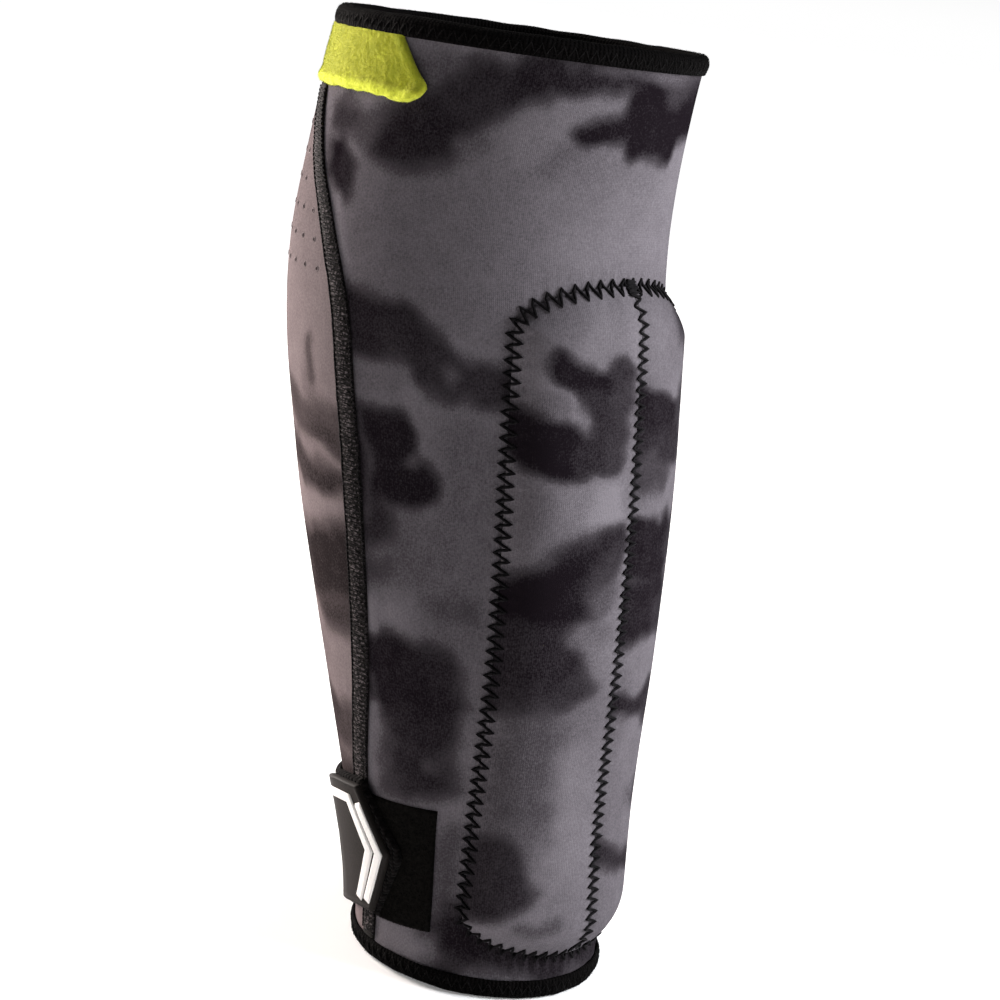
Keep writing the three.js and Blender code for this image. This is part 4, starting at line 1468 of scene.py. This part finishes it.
def floor():
    mesh = bpy.data.meshes.new("floor")
    half = FLOOR_REACH
    corners = [(-half, -half, 0), (half, -half, 0), (half, half, 0), (-half, half, 0)]
    mesh.from_pydata(corners, [], [(0, 1, 2, 3)])
    ground = add_object("floor", mesh)
    material, shader = new_material("pale floor", 0.9)
    shader.inputs["Base Color"].default_value = (0.9, 0.9, 0.9, 1)
    shader.inputs["Emission Color"].default_value = (1, 1, 1, 1)
    place = add_node(material, "ShaderNodeTexCoord").outputs["Object"]
    away = add_node(material, "ShaderNodeVectorMath", {"operation": "LENGTH"}, _0=place).outputs["Value"]
    glow = add_node(material, "ShaderNodeMapRange", {"interpolation_type": "SMOOTHSTEP"}, Value=away,
                    From_Min=FLOOR_NEAR, From_Max=FLOOR_FAR, To_Min=FLOOR_GLOW, To_Max=1.0)
    material.node_tree.links.new(glow.outputs["Result"], shader.inputs["Emission Strength"])
    mesh.materials.append(material)
    ground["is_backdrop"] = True


def studio_surroundings():
    # White at the horizon, where the floor ends, and dim overhead
    world = bpy.data.worlds.new("studio")
    world.use_nodes = True
    way = add_node(world, "ShaderNodeTexCoord").outputs["Generated"]
    rise = add_node(world, "ShaderNodeSeparateXYZ", Vector=way).outputs["Z"]
    highest = math.sin(math.radians(HORIZON_GLOW))
    glow = add_node(world, "ShaderNodeMapRange", {"interpolation_type": "SMOOTHSTEP"}, Value=rise,
                    From_Min=highest, From_Max=0.0, To_Min=DIM_OVERHEAD, To_Max=1.0)
    background = world.node_tree.nodes["Background"]
    background.inputs["Color"].default_value = (1, 1, 1, 1)
    world.node_tree.links.new(glow.outputs["Result"], background.inputs["Strength"])
    scene.world = world


def soft_box(name, angle, rise, power, colour):
    data = bpy.data.lights.new(name, "AREA")
    data.shape = "RECTANGLE"
    data.size, data.size_y = LIGHT_SIZE
    data.energy = power
    data.color = colour
    lamp = add_object(name, data)
    turn, up = math.radians(angle), math.radians(rise)
    way = Vector((-math.sin(turn) * math.cos(up), -math.cos(turn) * math.cos(up), math.sin(up)))
    lamp.location = LIGHT_TARGET + way * LIGHT_DISTANCE
    lamp.rotation_euler = way.to_track_quat("Z", "Y").to_euler()


def photo_camera():
    side, pitch, roll = (math.radians(x) for x in (CAMERA_SIDE, CAMERA_PITCH, CAMERA_ROLL))
    heading = side + math.radians(CAMERA_YAW)
    right = Vector((math.cos(heading), math.sin(heading), 0))
    level = Vector((-math.sin(heading), math.cos(heading), 0))
    ahead = level * math.cos(pitch) - Vector((0, 0, math.sin(pitch)))
    down = ahead.cross(right)
    x_axis = math.cos(roll) * right - math.sin(roll) * down
    y_axis = -(math.sin(roll) * right + math.cos(roll) * down)
    place = Matrix((x_axis, y_axis, -ahead)).transposed().to_4x4()
    stand = (CAMERA_DISTANCE * math.sin(side), -CAMERA_DISTANCE * math.cos(side), CAMERA_HEIGHT)
    place.translation = MM * Vector(stand)
    data = bpy.data.cameras.new("camera")
    data.sensor_width = SENSOR_WIDTH
    data.lens = FOCAL_PIXELS * SENSOR_WIDTH / PHOTO_SIDE
    data.clip_start = 0.01
    camera = add_object("camera", data)
    camera.matrix_world = place
    scene.camera = camera


floor()
for box in SOFT_BOXES:
    soft_box(*box)
studio_surroundings()
scene.view_settings.view_transform = "Standard"
photo_camera()

visual_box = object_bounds()
{"cad": [list(corner) for corner in cad_box], "visual": [list(corner) for corner in visual_box]}
